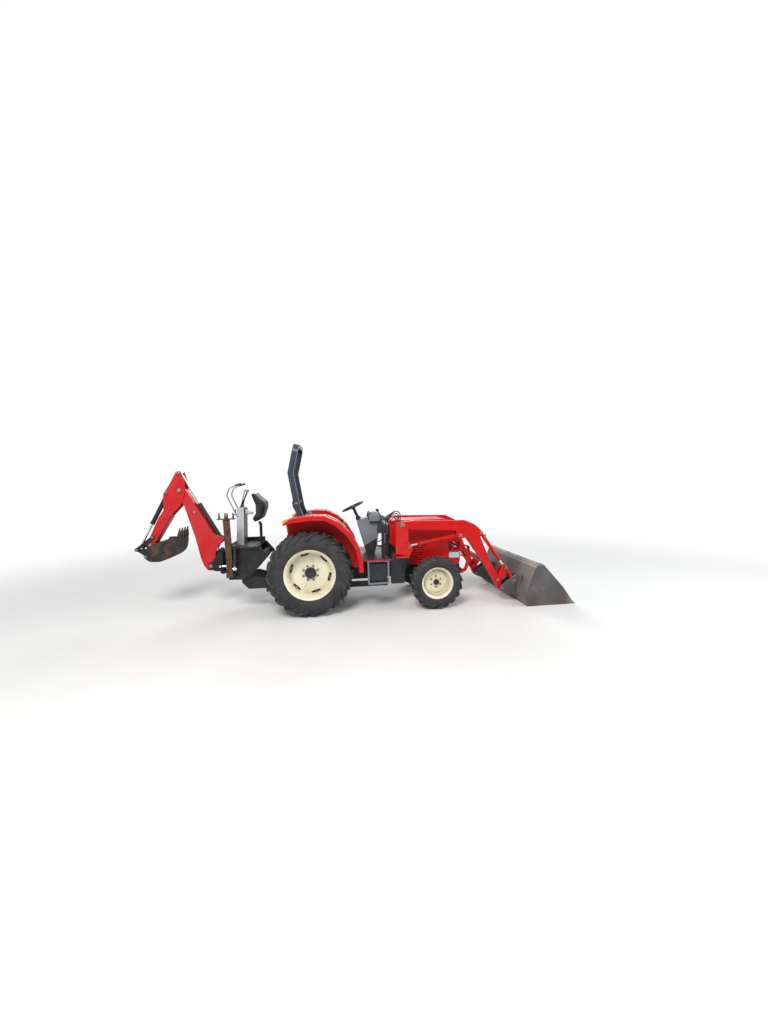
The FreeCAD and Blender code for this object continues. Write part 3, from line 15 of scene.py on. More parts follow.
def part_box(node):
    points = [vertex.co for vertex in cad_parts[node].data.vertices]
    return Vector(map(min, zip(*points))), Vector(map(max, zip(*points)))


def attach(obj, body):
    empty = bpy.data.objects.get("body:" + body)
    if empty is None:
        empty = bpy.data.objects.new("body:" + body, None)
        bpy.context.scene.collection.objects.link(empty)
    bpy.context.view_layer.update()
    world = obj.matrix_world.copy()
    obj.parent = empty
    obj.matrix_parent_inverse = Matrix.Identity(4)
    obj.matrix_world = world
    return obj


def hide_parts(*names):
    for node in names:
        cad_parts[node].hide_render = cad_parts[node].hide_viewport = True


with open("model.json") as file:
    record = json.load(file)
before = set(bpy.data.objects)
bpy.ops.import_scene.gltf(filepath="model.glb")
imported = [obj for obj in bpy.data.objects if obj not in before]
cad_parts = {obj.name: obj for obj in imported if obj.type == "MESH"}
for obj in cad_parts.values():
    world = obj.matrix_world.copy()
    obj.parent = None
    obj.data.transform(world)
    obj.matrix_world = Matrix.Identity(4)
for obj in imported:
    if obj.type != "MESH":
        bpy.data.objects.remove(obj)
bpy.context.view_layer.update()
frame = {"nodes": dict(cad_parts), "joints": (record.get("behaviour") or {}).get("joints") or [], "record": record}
NODES = frame["nodes"]
PIN = {joint["name"]: Vector(joint["pos_m"]) for joint in frame["joints"] if "pos_m" in joint}
REAR_X = PIN["rear_wheel_left"].x
print("solids:", len(NODES), "joints:", len(PIN))

# %% [markdown]
# Lengths ahead are easiest to read from the rear axle, as a workshop drawing gives them. The
# frame's own origin lies between the axles, so one small function turns the first into the
# second. All numbers are metres: x ahead of the rear axle, y to the driver's left, z up.

# %% Places measured from the rear axle
def spot(x, y, z):
    """A point of the frame from its distance ahead of the rear axle, its side and its height."""
    return Vector((REAR_X + x, y, z))


FRONT_X = PIN["front_wheel_left"].x
print("wheelbase: %.3f m" % (FRONT_X - REAR_X))

# %% [markdown]
# Paint, rubber and rust are sums of noises and masks. Wiring such sums by hand hides what they
# mean, so an output socket is wrapped in a class whose operators add the Math nodes. The
# reflected forms are there too, and a mask can be turned over by writing 1 - mask.

# %% Arithmetic on shader sockets
class Value:
    """A shader output that can stand in an arithmetic expression."""

    def __init__(self, nodes, socket):
        self.nodes = nodes
        self.socket = socket


def arithmetic(operation, reflected):
    """A method that adds a Math node; the reflected one takes its two values the other way round."""
    def method(self, other):
        first, second = (other, self) if reflected else (self, other)
        return self.nodes.node("ShaderNodeMath", {"operation": operation}, {0: first, 1: second})
    return method


for word, operation in (("add", "ADD"), ("sub", "SUBTRACT"), ("mul", "MULTIPLY"), ("truediv", "DIVIDE")):
    setattr(Value, "__%s__" % word, arithmetic(operation, False))
    setattr(Value, "__r%s__" % word, arithmetic(operation, True))
print("operators: + - * / and their reflected forms")

# %% [markdown]
# A finish is one material. Every node comes from one method that takes the node's type, its
# settings and the values of its sockets, and the settings go first because some of them change
# which sockets exist. The short methods after it name the few patterns that all the surfaces
# share: where a point is, how high, noise at a scale, and a smooth step from 0 to 1.

# %% A material and its patterns
EDGE_GAIN = 3.4
BUMP_STRENGTH = 0.6


class Nodes:
    """A node tree whose nodes all come from one method."""

    def __init__(self, tree):
        self.tree = tree

    def node(self, kind, settings, values, output=0):
        made = self.tree.nodes.new(kind)
        for key, setting in settings.items():
            setattr(made, key, setting)
        for place, value in values.items():
            self.feed(made.inputs[place], value)
        return Value(self, made.outputs[output])

    def feed(self, socket, value):
        if isinstance(value, Value):
            self.tree.links.new(value.socket, socket)
        else:
            socket.default_value = value

    def first(self, kind):
        """The tree's own node of that type."""
        return next(node for node in self.tree.nodes if node.type == kind)


class Finish(Nodes):
    """A material, its main shader and the patterns that vary over its surface."""

    def __init__(self, name, **constants):
        self.material = bpy.data.materials.new(name)
        self.material.use_nodes = True
        super().__init__(self.material.node_tree)
        self.shader = self.first("BSDF_PRINCIPLED")
        for words, number in constants.items():
            self.shader.inputs[words.replace("_", " ")].default_value = number
        self.place = self.node("ShaderNodeTexCoord", {}, {}, "Object")

    def part(self, vector, letter):
        return self.node("ShaderNodeSeparateXYZ", {}, {0: vector}, letter)

    def height(self):
        """How far a point is above the ground, at rest."""
        return self.part(self.place, "Z")

    def side(self):
        """How far a point is to the driver's left."""
        return self.part(self.place, "Y")

    def ahead(self):
        """How far a point is ahead of the frame's origin."""
        return self.part(self.place, "X")

    def facing(self, letter):
        """The face's own direction along one axis at rest, from -1 to 1."""
        return self.part(self.node("ShaderNodeTexCoord", {}, {}, "Normal"), letter)

    def of(self, operation, value):
        """A Math node of one value, such as its sine."""
        return self.node("ShaderNodeMath", {"operation": operation}, {0: value})

    def noise(self, scale, detail=3.0, stretch=(1, 1, 1)):
        ends = {0: self.place, 1: stretch}
        where = self.node("ShaderNodeVectorMath", {"operation": "MULTIPLY"}, ends)
        return self.node("ShaderNodeTexNoise", {}, {"Vector": where, "Scale": scale, "Detail": detail})

    def cells(self, scale, feature="F1"):
        values = {"Vector": self.place, "Scale": scale}
        return self.node("ShaderNodeTexVoronoi", {"feature": feature}, values, "Distance")

    def step(self, value, low, high):
        """0 below low, 1 above high and smooth between; low may be the larger one."""
        ends = {"Value": value, "From Min": low, "From Max": high}
        return self.node("ShaderNodeMapRange", {"interpolation_type": "SMOOTHSTEP"}, ends)

    def patch(self, scale, detail, low, high):
        """Soft spots: a noise at a scale, stepped between two of its levels."""
        return self.step(self.noise(scale, detail), low, high)

    def edge(self, width):
        """About 0 on flat faces and toward 1 at corners that stick out or fold in."""
        soft = self.node("ShaderNodeBevel", {"samples": 4}, {"Radius": width})
        hard = self.node("ShaderNodeNewGeometry", {}, {}, "Normal")
        both = {0: soft, 1: hard}
        alike = self.node("ShaderNodeVectorMath", {"operation": "DOT_PRODUCT"}, both, "Value")
        return (1 - alike) * EDGE_GAIN

    def mix(self, amount, first, second):
        """The first colour where amount is 0, the second where it is 1."""
        return self.node("ShaderNodeMix", {"data_type": "RGBA"}, {0: amount, 6: first, 7: second}, 2)

    def surface(self, colour, roughness, relief=None, depth=0.001, round_off=0.0, **more):
        """Joins the patterns to the shader; relief is a height for the Bump node."""
        self.feed(self.shader.inputs["Base Color"], colour)
        self.feed(self.shader.inputs["Roughness"], roughness)
        for words, value in more.items():
            self.feed(self.shader.inputs[words.replace("_", " ")], value)
        normal = None
        if round_off:
            normal = self.node("ShaderNodeBevel", {"samples": 6}, {"Radius": round_off})
        if relief is not None:
            values = {"Height": relief, "Distance": depth, "Strength": BUMP_STRENGTH}
            if normal is not None:
                values["Normal"] = normal
            normal = self.node("ShaderNodeBump", {}, values)
        if normal is not None:
            self.feed(self.shader.inputs["Normal"], normal)
        return self.material


def colour(red, green, blue):
    """A colour in linear light."""
    return (red, green, blue, 1.0)


DUST = colour(0.30, 0.25, 0.19)
PRIMER = colour(0.11, 0.10, 0.095)
RUST = colour(0.19, 0.066, 0.025)
print("patterns: height, side, ahead, facing, noise, cells, step, patch, edge, mix")

# %% [markdown]
# Sprayed paint on a working machine is never one colour. It fades in broad patches, gathers
# dust low down, and wears through to primer and rust along the edges. All the painted parts
# share that story with other numbers, so one function tells it. Fading comes from a wide
# noise, dust from height and a finer noise, and wear from the corner mask broken up by specks.

# %% Weathered paint
def painted(name, fresh, faded, shine, dust=0.5, wear=0.5, coat=0.3, under=PRIMER, texture=0.0004):
    finish = Finish(name, Coat_Roughness=0.18, Specular_IOR_Level=0.22)
    broad = finish.patch(1.6, 4.0, 0.38, 0.68)
    tone = finish.mix(broad * 0.8, fresh, faded)
    speck = finish.noise(46.0, 4.0)
    grime = finish.patch(7.0, 6.0, 0.44, 0.76)
    low = finish.step(finish.height(), 1.15, 0.25)
    runs = finish.step(finish.noise(5.0, 3.0, (3.0, 3.0, 0.35)), 0.50, 0.80)
    film = (grime * (0.35 + 0.65 * low) + runs * 0.25) * dust
    tone = finish.mix(film, tone, DUST)
    corner = finish.edge(0.005)
    chips = finish.step(corner + speck * 0.9, 1.32 - 0.5 * wear, 1.50 - 0.5 * wear)
    rusty = finish.mix(finish.step(speck, 0.48, 0.6), under, RUST)
    tone = finish.mix(chips * 0.85, tone, rusty)
    fine = finish.noise(170.0, 2.0)
    rough = shine + film * 0.45 + chips * 0.3 + broad * 0.08
    relief = fine * 0.35 + speck * 0.3 - chips * 0.6
    weight = (1 - film) * (1 - chips) * coat
    return finish.surface(tone, rough, relief, texture, 0.0035, Coat_Weight=weight)


RED = painted("tractor red", colour(0.56, 0.002, 0.002), colour(0.50, 0.006, 0.006),
              0.42, 0.10, 0.22, 0.08)
# painted sunlight: the arm's red is the tractor's red made paler and pinker; its rougher, dustier, more worn
# finish is its own
ARM_RED_SUNLIT = painted("arm red with painted sunlight", colour(0.54, 0.012, 0.014), colour(0.52, 0.034, 0.034),
                  0.48, 0.16, 0.40, 0.08)
BLACK = painted("black paint", colour(0.012, 0.014, 0.020), colour(0.030, 0.033, 0.042),
                0.34, 0.07, 0.35, 0.3)
DIGGER = painted("digging frame black", colour(0.010, 0.010, 0.012), colour(0.024, 0.023, 0.024),
                 0.42, 0.10, 0.45, 0.12)
GREY = painted("casting grey", colour(0.030, 0.032, 0.036), colour(0.050, 0.050, 0.052),
               0.55, 0.22, 0.3, 0.0)
# the roll bar is black paint; the blue cast in both its colours is a painted sky reflection
ROLL_BAR = painted("roll bar black with painted sky blue", colour(0.012, 0.016, 0.028), colour(0.030, 0.040, 0.062),
                   0.32, 0.05, 0.5, 0.4, RUST)
print("painted finishes: 6")

# %% [markdown]
# The wheels' cream paint is special: rain leaves rust round every bolt and along the rolled
# edge, and mud dries in the dish. The rust is patchy, so a wide noise decides where it may
# grow and the corner mask where it starts.

# %% Cream wheel paint
def cream_paint():
    finish = Finish("wheel cream", Coat_Roughness=0.2)
    broad = finish.patch(2.2, 4.0, 0.35, 0.7)
    tone = finish.mix(broad, colour(0.80, 0.76, 0.60), colour(0.70, 0.64, 0.47))
    patch = finish.patch(6.0, 5.0, 0.46, 0.66)
    bloom = finish.patch(30.0, 5.0, 0.45, 0.70)
    seams = finish.step(finish.edge(0.016), 0.05, 0.9)
    rust = finish.step(patch * (0.25 + seams) * (0.4 + bloom), 0.16, 0.70)
    tone = finish.mix(rust * 0.85, tone, colour(0.36, 0.16, 0.06))
    mud = finish.patch(11.0, 6.0, 0.55, 0.80) * 0.5
    tone = finish.mix(mud, tone, colour(0.33, 0.27, 0.19))
    fine = finish.noise(150.0, 2.0)
    rough = 0.42 + 0.35 * mud + 0.25 * rust
    relief = fine * 0.3 + bloom * rust * 0.6
    return finish.surface(tone, rough, relief, 0.0006, 0.003, Coat_Weight=0.15 - mud * 0.15)


CREAM = cream_paint()
print("wheel finish:", CREAM.name)

# %% [markdown]
# Tyre rubber is nearly black when new and greys in the sun. Its ribs and bars carry dried
# mud, and the flanks show faint rings from the mould. A tyre's own centre is its object's
# origin here, so the distance from the axle is the length of the place vector without y, and
# mud can be kept to the tread.

# %% Tyre rubber
def tyre_rubber(name, tip):
    finish = Finish(name, Specular_IOR_Level=0.35)
    level = {0: finish.place, 1: (1, 0, 1)}
    flat = finish.node("ShaderNodeVectorMath", {"operation": "MULTIPLY"}, level)
    radius = finish.node("ShaderNodeVectorMath", {"operation": "LENGTH"}, {0: flat}, "Value")
    broad = finish.patch(5.0, 5.0, 0.35, 0.70)
    tone = finish.mix(broad, colour(0.018, 0.019, 0.022), colour(0.036, 0.037, 0.040))
    tread = finish.step(radius, tip - 0.075, tip - 0.010)
    grit = finish.patch(22.0, 7.0, 0.40, 0.72)
    mud = grit * (0.10 + tread * 0.52)
    tone = finish.mix(mud, tone, colour(0.135, 0.120, 0.108))
    rings = finish.of("SINE", radius * 900.0)
    fine = finish.noise(260.0, 2.0)
    relief = fine * 0.5 + rings * 0.10 * (1 - tread) + grit * 0.5
    return finish.surface(tone, 0.66 + mud * 0.30, relief, 0.0012)


def tip_radius(node):
    low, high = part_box(node)
    return (high.z - low.z) / 2


REAR_TIP = tip_radius("tyre_rear_right")
FRONT_TIP = tip_radius("tyre_front_right")
RUBBER = {"rear": tyre_rubber("rear tyre rubber", REAR_TIP),
          "front": tyre_rubber("front tyre rubber", FRONT_TIP)}
print("tyre radii: %.3f and %.3f m" % (REAR_TIP, FRONT_TIP))

# %% [markdown]
# The loader bucket has lost its paint. Bare plate shows long scratches from gravel, grey
# oxide, and brown rust that grows from the folds and the floor. The back of its right end is
# lightened to pale grey as a painted highlight. Scratches are noise squeezed hard along one
# way, and the same pattern lowers the roughness so that they catch the light.

# %% Worn bucket steel
def worn_steel():
    finish = Finish("worn bucket steel with painted highlight")
    low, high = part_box("loader_bucket")
    oxide = finish.patch(3.0, 6.0, 0.34, 0.70)
    tone = finish.mix(oxide, colour(0.120, 0.116, 0.114), colour(0.070, 0.068, 0.070))
    # painted highlight: back faces at the bucket's right end are lightened to pale grey
    back = finish.step(finish.facing("X"), -0.30, -0.60) * finish.step(finish.side(), -0.36, -0.56)
    tone = finish.mix(back * (0.60 + 0.3 * oxide), tone, colour(0.270, 0.260, 0.240))
    scratch = finish.step(finish.noise(9.0, 3.0, (0.5, 14.0, 0.8)), 0.56, 0.68)
    rub = finish.patch(4.0, 4.0, 0.42, 0.66)
    bright = scratch * rub
    rust = finish.patch(4.5, 7.0, 0.50, 0.70) * finish.step(finish.height(), 0.85, 0.10)
    folds = (finish.step(finish.ahead(), low.x + 0.42, low.x + 0.18)
             * finish.step(finish.height(), 0.24, 0.06))
    tone = finish.mix(rust * 0.55 + folds * 0.25, tone, colour(0.130, 0.062, 0.036))
    tone = finish.mix(bright * 0.22, tone, colour(0.24, 0.235, 0.23))
    rim = finish.step(finish.height(), high.z - 0.050, high.z - 0.020)
    lip = finish.step(finish.ahead(), high.x - 0.170, high.x - 0.060)
    tone = finish.mix((rim + lip) * (0.45 + 0.4 * rub), tone, colour(0.36, 0.33, 0.29))
    corner = finish.step(finish.edge(0.006), 0.25, 0.9)
    tone = finish.mix(corner * 0.5, tone, colour(0.36, 0.34, 0.32))
    metal = 0.45 - rust * 0.4
    rough = 0.55 + rust * 0.3 - bright * 0.18
    relief = finish.noise(120.0, 3.0) * 0.5 + rust * 0.6 - scratch * 0.3
    return finish.surface(tone, rough, relief, 0.0008, 0.003, Metallic=metal)


STEEL = worn_steel()
print("bucket finish:", STEEL.name)

# %% [markdown]
# The stabilizer legs and the digging bucket were black once. Most of it has turned to brown
# rust with dark islands of old paint, and the working edges are rubbed to dull metal.

# %% Rusted steel
def rusted_steel(name, black_from, light, dark):
    """Rust between two tones; black_from is the noise level above which old paint is left."""
    finish = Finish(name, Specular_IOR_Level=0.35)
    islands = finish.step(finish.noise(5.5, 7.0), black_from, black_from + 0.14)
    rust = finish.mix(finish.noise(28.0, 5.0), dark, light)
    tone = finish.mix(islands, rust, colour(0.022, 0.020, 0.021))
    soil = finish.patch(13.0, 6.0, 0.54, 0.80) * 0.4
    tone = finish.mix(soil, tone, colour(0.15, 0.12, 0.09))
    corner = finish.step(finish.edge(0.006) * (0.6 + finish.noise(40.0)), 0.5, 1.1)
    tone = finish.mix(corner * 0.45, tone, colour(0.22, 0.20, 0.18))
    relief = finish.noise(90.0, 4.0) + islands * 0.5
    return finish.surface(tone, 0.78 - corner * 0.3, relief, 0.0010, 0.003, Metallic=corner * 0.5)


RUSTED = rusted_steel("rusted steel", 0.48, colour(0.16, 0.075, 0.038), colour(0.065, 0.028, 0.016))
DARK_STEEL = rusted_steel("digging bucket steel", 0.40, colour(0.115, 0.062, 0.040),
                          colour(0.040, 0.022, 0.016))
print("leg and tooth finishes:", RUSTED.name, "and", DARK_STEEL.name)

# %% [markdown]
# The remaining finishes are short. Piston rods are ground and chromed, with an oily film in
# patches. Bolts and pins are zinc plated and dull. Plastics have a fine leather-like grain and
# fade a little in the sun. Lenses are ribbed inside.

# %% Chrome, zinc, plastics and lenses
def chromed():
    finish = Finish("rod chrome", Metallic=1.0)
    film = finish.patch(14.0, 4.0, 0.45, 0.75)
    tone = finish.mix(film * 0.5, colour(0.74, 0.75, 0.77), colour(0.42, 0.40, 0.38))
    return finish.surface(tone, 0.12 + film * 0.25, finish.noise(300.0), 0.0001)


def zinc_plated():
    finish = Finish("zinc plate", Metallic=0.85)
    dull = finish.patch(24.0, 4.0, 0.35, 0.70)
    tone = finish.mix(dull, colour(0.30, 0.29, 0.27), colour(0.17, 0.165, 0.16))
    tone = finish.mix(finish.patch(60.0, 5.0, 0.60, 0.75) * 0.6, tone, RUST)
    return finish.surface(tone, 0.42 + dull * 0.25, finish.noise(160.0), 0.0003, 0.001)


def moulded(name, fresh, faded, rough, grain=420.0, depth=0.0005):
    finish = Finish(name, Specular_IOR_Level=0.30)
    broad = finish.patch(4.0, 4.0, 0.35, 0.70)
    tone = finish.mix(broad, fresh, faded)
    film = finish.patch(9.0, 6.0, 0.50, 0.82) * 0.10
    tone = finish.mix(film, tone, DUST)
    leather = finish.cells(grain)
    return finish.surface(tone, rough + film * 0.4, leather, depth, 0.003)


def lens_glass(name, clear, deep, rib_scale):
    finish = Finish(name, Coat_Weight=0.8, Coat_Roughness=0.05)
    bars = finish.of("SINE", finish.side() * rib_scale)
    bands = finish.of("SINE", finish.height() * rib_scale * 0.6)
    ribs = finish.step(bars * 0.5 + 0.5, 0.1, 0.9) * 0.7
    ribs = ribs + finish.step(bands * 0.5 + 0.5, 0.2, 0.9) * 0.3
    tone = finish.mix(ribs, deep, clear)
    film = finish.patch(12.0, 5.0, 0.5, 0.8) * 0.25
    tone = finish.mix(film, tone, DUST)
    return finish.surface(tone, 0.10 + film, ribs, 0.0012)


CHROME = chromed()
ZINC = zinc_plated()
PLASTIC = moulded("black plastic", colour(0.012, 0.012, 0.014), colour(0.024, 0.024, 0.026), 0.48)
PALE = moulded("console pale plastic", colour(0.52, 0.56, 0.58), colour(0.42, 0.45, 0.46), 0.45)
VINYL = moulded("seat vinyl", colour(0.006, 0.006, 0.009), colour(0.012, 0.013, 0.018), 0.56, 260.0, 0.0009)
HOSE = moulded("hose rubber", colour(0.018, 0.018, 0.018), colour(0.034, 0.034, 0.034), 0.55, 600.0, 0.0003)
ORANGE = moulded("knob orange", colour(0.80, 0.30, 0.03), colour(0.70, 0.30, 0.06), 0.35, 500.0, 0.0002)
LENS = lens_glass("headlamp lens", colour(0.88, 0.90, 0.94), colour(0.50, 0.55, 0.64), 620.0)
AMBER = lens_glass("amber lens", colour(0.95, 0.32, 0.03), colour(0.70, 0.16, 0.01), 520.0)
print("small finishes: 9")

# %% [markdown]
# Four solids wear two colours each. The loader's masts are red, but the brackets that bolt
# them to the frame are black, and the joint lies at one height. The platform is black with
# blue-grey steps below it at both sides. The digging console is silver, with black painted
# shade on the faces that look toward the seat, so its colour goes by the way a face looks.
# The dash shroud has black trim below a line that rises toward the firewall. Each place is a
# mask between two colours.

# %% Two-colour parts
def banded(name, low_colour, high_colour, level, shine, dust):
    finish = Finish(name, Coat_Roughness=0.18, Specular_IOR_Level=0.30)
    above = finish.step(finish.height(), level - 0.004, level + 0.004)
    broad = finish.patch(1.8, 4.0, 0.38, 0.68)
    tone = finish.mix(above, low_colour, high_colour)
    tone = finish.mix(broad * 0.04, tone, colour(0.25, 0.22, 0.20))
    speck = finish.noise(46.0, 4.0)
    film = finish.patch(7.0, 6.0, 0.44, 0.76) * dust
    tone = finish.mix(film, tone, DUST)
    chips = finish.step(finish.edge(0.005) + speck * 0.9, 1.10, 1.30)
    tone = finish.mix(chips * 0.8, tone, PRIMER)
    rough = shine + film * 0.4 + chips * 0.3
    relief = speck * 0.4 - chips * 0.5
    return finish.surface(tone, rough, relief, 0.0004, 0.0035, Coat_Weight=(1 - film) * 0.16)


def aged(finish, tone, film, rough, grain, round_off):
    """A film of dust, chips down to the primer at the corners, and the surface that they leave."""
    tone = finish.mix(film, tone, DUST)
    speck = finish.noise(60.0, 3.0)
    chips = finish.step(finish.edge(0.004) + speck * 0.9, 1.15, 1.35)
    tone = finish.mix(chips * 0.7, tone, PRIMER)
    return finish.surface(tone, rough + film * 0.6, speck * grain - chips * 0.4, 0.0004, round_off)


FLOOR_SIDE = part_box("platform")[1].y


def deck_paint():
    """Black plates above, blue-grey step frames at the sides below the floor."""
    finish = Finish("deck black and step grey", Specular_IOR_Level=0.35)
    beside = finish.step(finish.of("ABSOLUTE", finish.side()), FLOOR_SIDE - 0.034, FLOOR_SIDE - 0.030)
    below = finish.step(finish.height(), 0.766, 0.762) * finish.step(finish.ahead(), 0.112, 0.118)
    broad = finish.patch(3.0, 4.0, 0.38, 0.68)
    black = finish.mix(broad, colour(0.014, 0.015, 0.018), colour(0.028, 0.028, 0.030))
    steps = finish.mix(broad, colour(0.150, 0.180, 0.225), colour(0.210, 0.235, 0.270))
    tone = finish.mix(beside * below, black, steps)
    return aged(finish, tone, finish.patch(9.0, 6.0, 0.55, 0.80) * 0.22, 0.52, 0.5, 0.0025)


def over_black(name, light, dark, cover):
    """A light paint where cover is 0 and a dark colour where it is 1: black trim on the shroud, painted shade on
    the console.
    """
    finish = Finish(name, Specular_IOR_Level=0.35)
    broad = finish.patch(3.0, 4.0, 0.38, 0.68)
    pale = finish.mix(broad, light, finish.mix(0.18, light, DUST))
    tone = finish.mix(cover(finish), pale, dark)
    return aged(finish, tone, finish.patch(9.0, 6.0, 0.52, 0.80) * 0.18, 0.42, 0.4, 0.003)


def console_painted_shade(finish):
    """Painted shade: the faces that look toward the operator's seat are black."""
    return finish.step(finish.facing("X"), 0.35, 0.60)


def cowl_low(finish):
    """Black trim hides the shroud below a line that rises toward the firewall."""
    line = finish.height() - finish.ahead() * 0.55
    return finish.step(line, 0.862, 0.852)


# the console's black back is painted shade, not a second paint
SILVER_AND_SHADE = over_black("silver with painted shade", colour(0.48, 0.49, 0.52), colour(0.016, 0.016, 0.018),
                    console_painted_shade)
COWL = over_black("shroud grey over black", colour(0.165, 0.200, 0.225), colour(0.018, 0.019, 0.021),
                  cowl_low)
MAST = banded("mast red over black", colour(0.022, 0.024, 0.030), colour(0.55, 0.002, 0.002),
              0.776, 0.38, 0.08)
DECK = deck_paint()
print("two-colour finishes:", MAST.name, DECK.name, SILVER_AND_SHADE.name, COWL.name, sep=", ")

# %% [markdown]
# Every solid now gets its finish. A table from the finish to the solids that wear it reads
# like a paint shop's list, and the loop also reports a solid that was forgotten.

# %% Dress the solids
WEARS = {
    RED: ["hood", "grille_guard", "loader_boom", "lift_barrels", "tilt_barrels", "tilt_rockers",
          "tilt_links", "fenders"],
    ARM_RED_SUNLIT: ["hoe_boom", "dipper"],
    MAST: ["loader_frames"],
    DECK: ["platform"],
    CREAM: ["rim_front_left", "rim_front_right", "rim_rear_left", "rim_rear_right"],
    GREY: ["engine_block", "transmission_case", "front_axle", "knuckle_left", "knuckle_right", "tie_rod"],
    ROLL_BAR: ["rops_posts", "rops_hoop"],
    BLACK: ["front_frame", "boom_barrel", "dipper_barrel", "hoe_bucket_barrel",
            "stabilizer_barrel_left", "stabilizer_barrel_right", "fuel_tanks"],
    DIGGER: ["hoe_frame", "hoe_swing_post", "guide_links", "bucket_link"],
    SILVER_AND_SHADE: ["hoe_console"],
    STEEL: ["loader_bucket"],
    RUSTED: ["stabilizer_left", "stabilizer_right"],
    DARK_STEEL: ["hoe_bucket"],
    CHROME: ["lift_rods", "tilt_rods", "swing_rod_left", "swing_rod_right", "boom_rod", "dipper_rod",
             "hoe_bucket_rod", "stabilizer_rod_left", "stabilizer_rod_right"],
    COWL: ["dash_console"],
    PLASTIC: ["steering_wheel", "control_levers"],
    VINYL: ["seat", "hoe_seat"],
    LENS: ["headlamps"],
    AMBER: ["rear_lamps"],
    RUBBER["rear"]: ["tyre_rear_left", "tyre_rear_right"],
    RUBBER["front"]: ["tyre_front_left", "tyre_front_right"],
}
for material, names in WEARS.items():
    for name in names:
        for place in NODES[name].material_slots:
            place.material = material
dressed = {name for names in WEARS.values() for name in names}
print("solids dressed:", len(dressed), "forgotten:", sorted(set(NODES) - dressed))

# %% [markdown]
# New pieces are all made the same way: a bmesh gathers some shapes, becomes a mesh, takes a
# finish and rides on a body. Edges sharper than a given angle stay crisp and the others are
# shaded smooth, which is how a machined part reads. Small things on one body are gathered in
# one piece, so that a hundred bolts cost one object.

# %% From a bmesh to a finished piece
AHEAD, LEFT, UP = Vector((1, 0, 0)), Vector((0, 1, 0)), Vector((0, 0, 1))


def placed(name, bm):
    """A new object in the scene, whose mesh takes over a bmesh."""
    mesh = bpy.data.meshes.new(name)
    bm.to_mesh(mesh)
    bm.free()
    made = bpy.data.objects.new(name, mesh)
    bpy.context.scene.collection.objects.link(made)
    return made


def piece(name, bm, finish, body, stands_for=(), sharp=35.0, origin=None):
    bmesh.ops.recalc_face_normals(bm, faces=bm.faces)
    limit = math.radians(sharp)
    for edge in bm.edges:
        edge.smooth = len(edge.link_faces) == 2 and edge.calc_face_angle(0.0) < limit
    for face in bm.faces:
        face.smooth = True
    made = placed(name, bm)
    if origin is not None:
        made.location = origin
    made.data.materials.append(finish)
    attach(made, body)
    if stands_for:
        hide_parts(*stands_for)
    print("%-24s %6d faces on %s" % (name, len(made.data.polygons), body))
    return made


def across(axis):
    """Two unit vectors at right angles to an axis and to each other."""
    first = axis.cross(UP)
    if first.length < 0.01:
        first = axis.cross(LEFT)
    first.normalize()
    return first, axis.cross(first).normalized()


# %% [markdown]
# A few shapes cover most fittings. A turned shape spins a profile of radius and distance along
# an axis, a tube follows a path, a slab is a flat outline given a thickness, and a plate is an
# outline drawn from the side and given a width across the machine.

# %% Turned shapes, tubes, slabs and plates
def circle(bm, middle, first, second, radius, sides):
    """Points round a middle, in the plane of two unit vectors."""
    turns = [2 * math.pi * k / sides for k in range(sides)]
    return [bm.verts.new(middle + (first * math.cos(t) + second * math.sin(t)) * radius) for t in turns]


def skin(bm, rings, closed=True):
    """Faces between each two rows of points, all round or with one side left open, and two ends."""
    count = len(rings[0])
    for one, two in zip(rings, rings[1:]):
        for k in range(count if closed else count - 1):
            after = (k + 1) % count
            bm.faces.new((one[k], one[after], two[after], two[k]))
    bm.faces.new(rings[0][::-1])
    bm.faces.new(rings[-1])


def turned(bm, profile, centre, axis, sides=32, size=1.0):
    """Spins (radius, distance along the axis) times a size; a radius of 0 closes the shape."""
    axis = Vector(axis).normalized()
    first, second = across(axis)
    rings = []
    for radius, along in profile:
        middle = centre + axis * (along * size)
        if radius == 0:
            rings.append([bm.verts.new(middle)])
        else:
            rings.append(circle(bm, middle, first, second, radius * size, sides))
    for one, two in zip(rings, rings[1:]):
        for k in range(sides):
            after = k + 1
            corners = [one[k % len(one)], one[after % len(one)], two[after % len(two)], two[k % len(two)]]
            distinct = list(dict.fromkeys(corners))
            if len(distinct) > 2:
                bm.faces.new(distinct)


def tube(bm, path, radius, sides=12):
    """A round bar along points, with closed ends and a section that doesn't twist."""
    points = [Vector(p) for p in path]
    normal = across((points[1] - points[0]).normalized())[0]
    rings = []
    for i, point in enumerate(points):
        before, after = points[max(i - 1, 0)], points[min(i + 1, len(points) - 1)]
        along = (after - before).normalized()
        normal = (normal - along * normal.dot(along)).normalized()
        rings.append(circle(bm, point, normal, along.cross(normal), radius, sides))
    skin(bm, rings)


def slab(bm, outline, thickness, chamfer=0.0):
    """A flat outline of points, given a thickness vector and a small chamfer."""
    lower = [bm.verts.new(p) for p in outline]
    upper = [bm.verts.new(p + thickness) for p in outline]
    count = len(outline)
    made = [bm.faces.new(lower[::-1]), bm.faces.new(upper)]
    for k in range(count):
        made.append(bm.faces.new((lower[k], lower[(k + 1) % count], upper[(k + 1) % count], upper[k])))
    if chamfer:
        edges = list({edge for face in made for edge in face.edges})
        bmesh.ops.bevel(bm, geom=edges, offset=chamfer, segments=2, affect="EDGES")


def plate(bm, outline, half, chamfer=0.0, y=0.0):
    """An outline seen from the side, given half a width to each side of y."""
    slab(bm, [Vector((p.x, y - half, p.z)) for p in outline], LEFT * (2 * half), chamfer)


def block(bm, low, high, chamfer=0.002):
    """A bar with chamfered corners, between its lowest and highest corners."""
    outline = [Vector((low.x, low.y, low.z)), Vector((high.x, low.y, low.z)),
               Vector((high.x, high.y, low.z)), Vector((low.x, high.y, low.z))]
    slab(bm, outline, UP * (high.z - low.z), chamfer)


print("shapes: turned, tube, slab, plate, block")

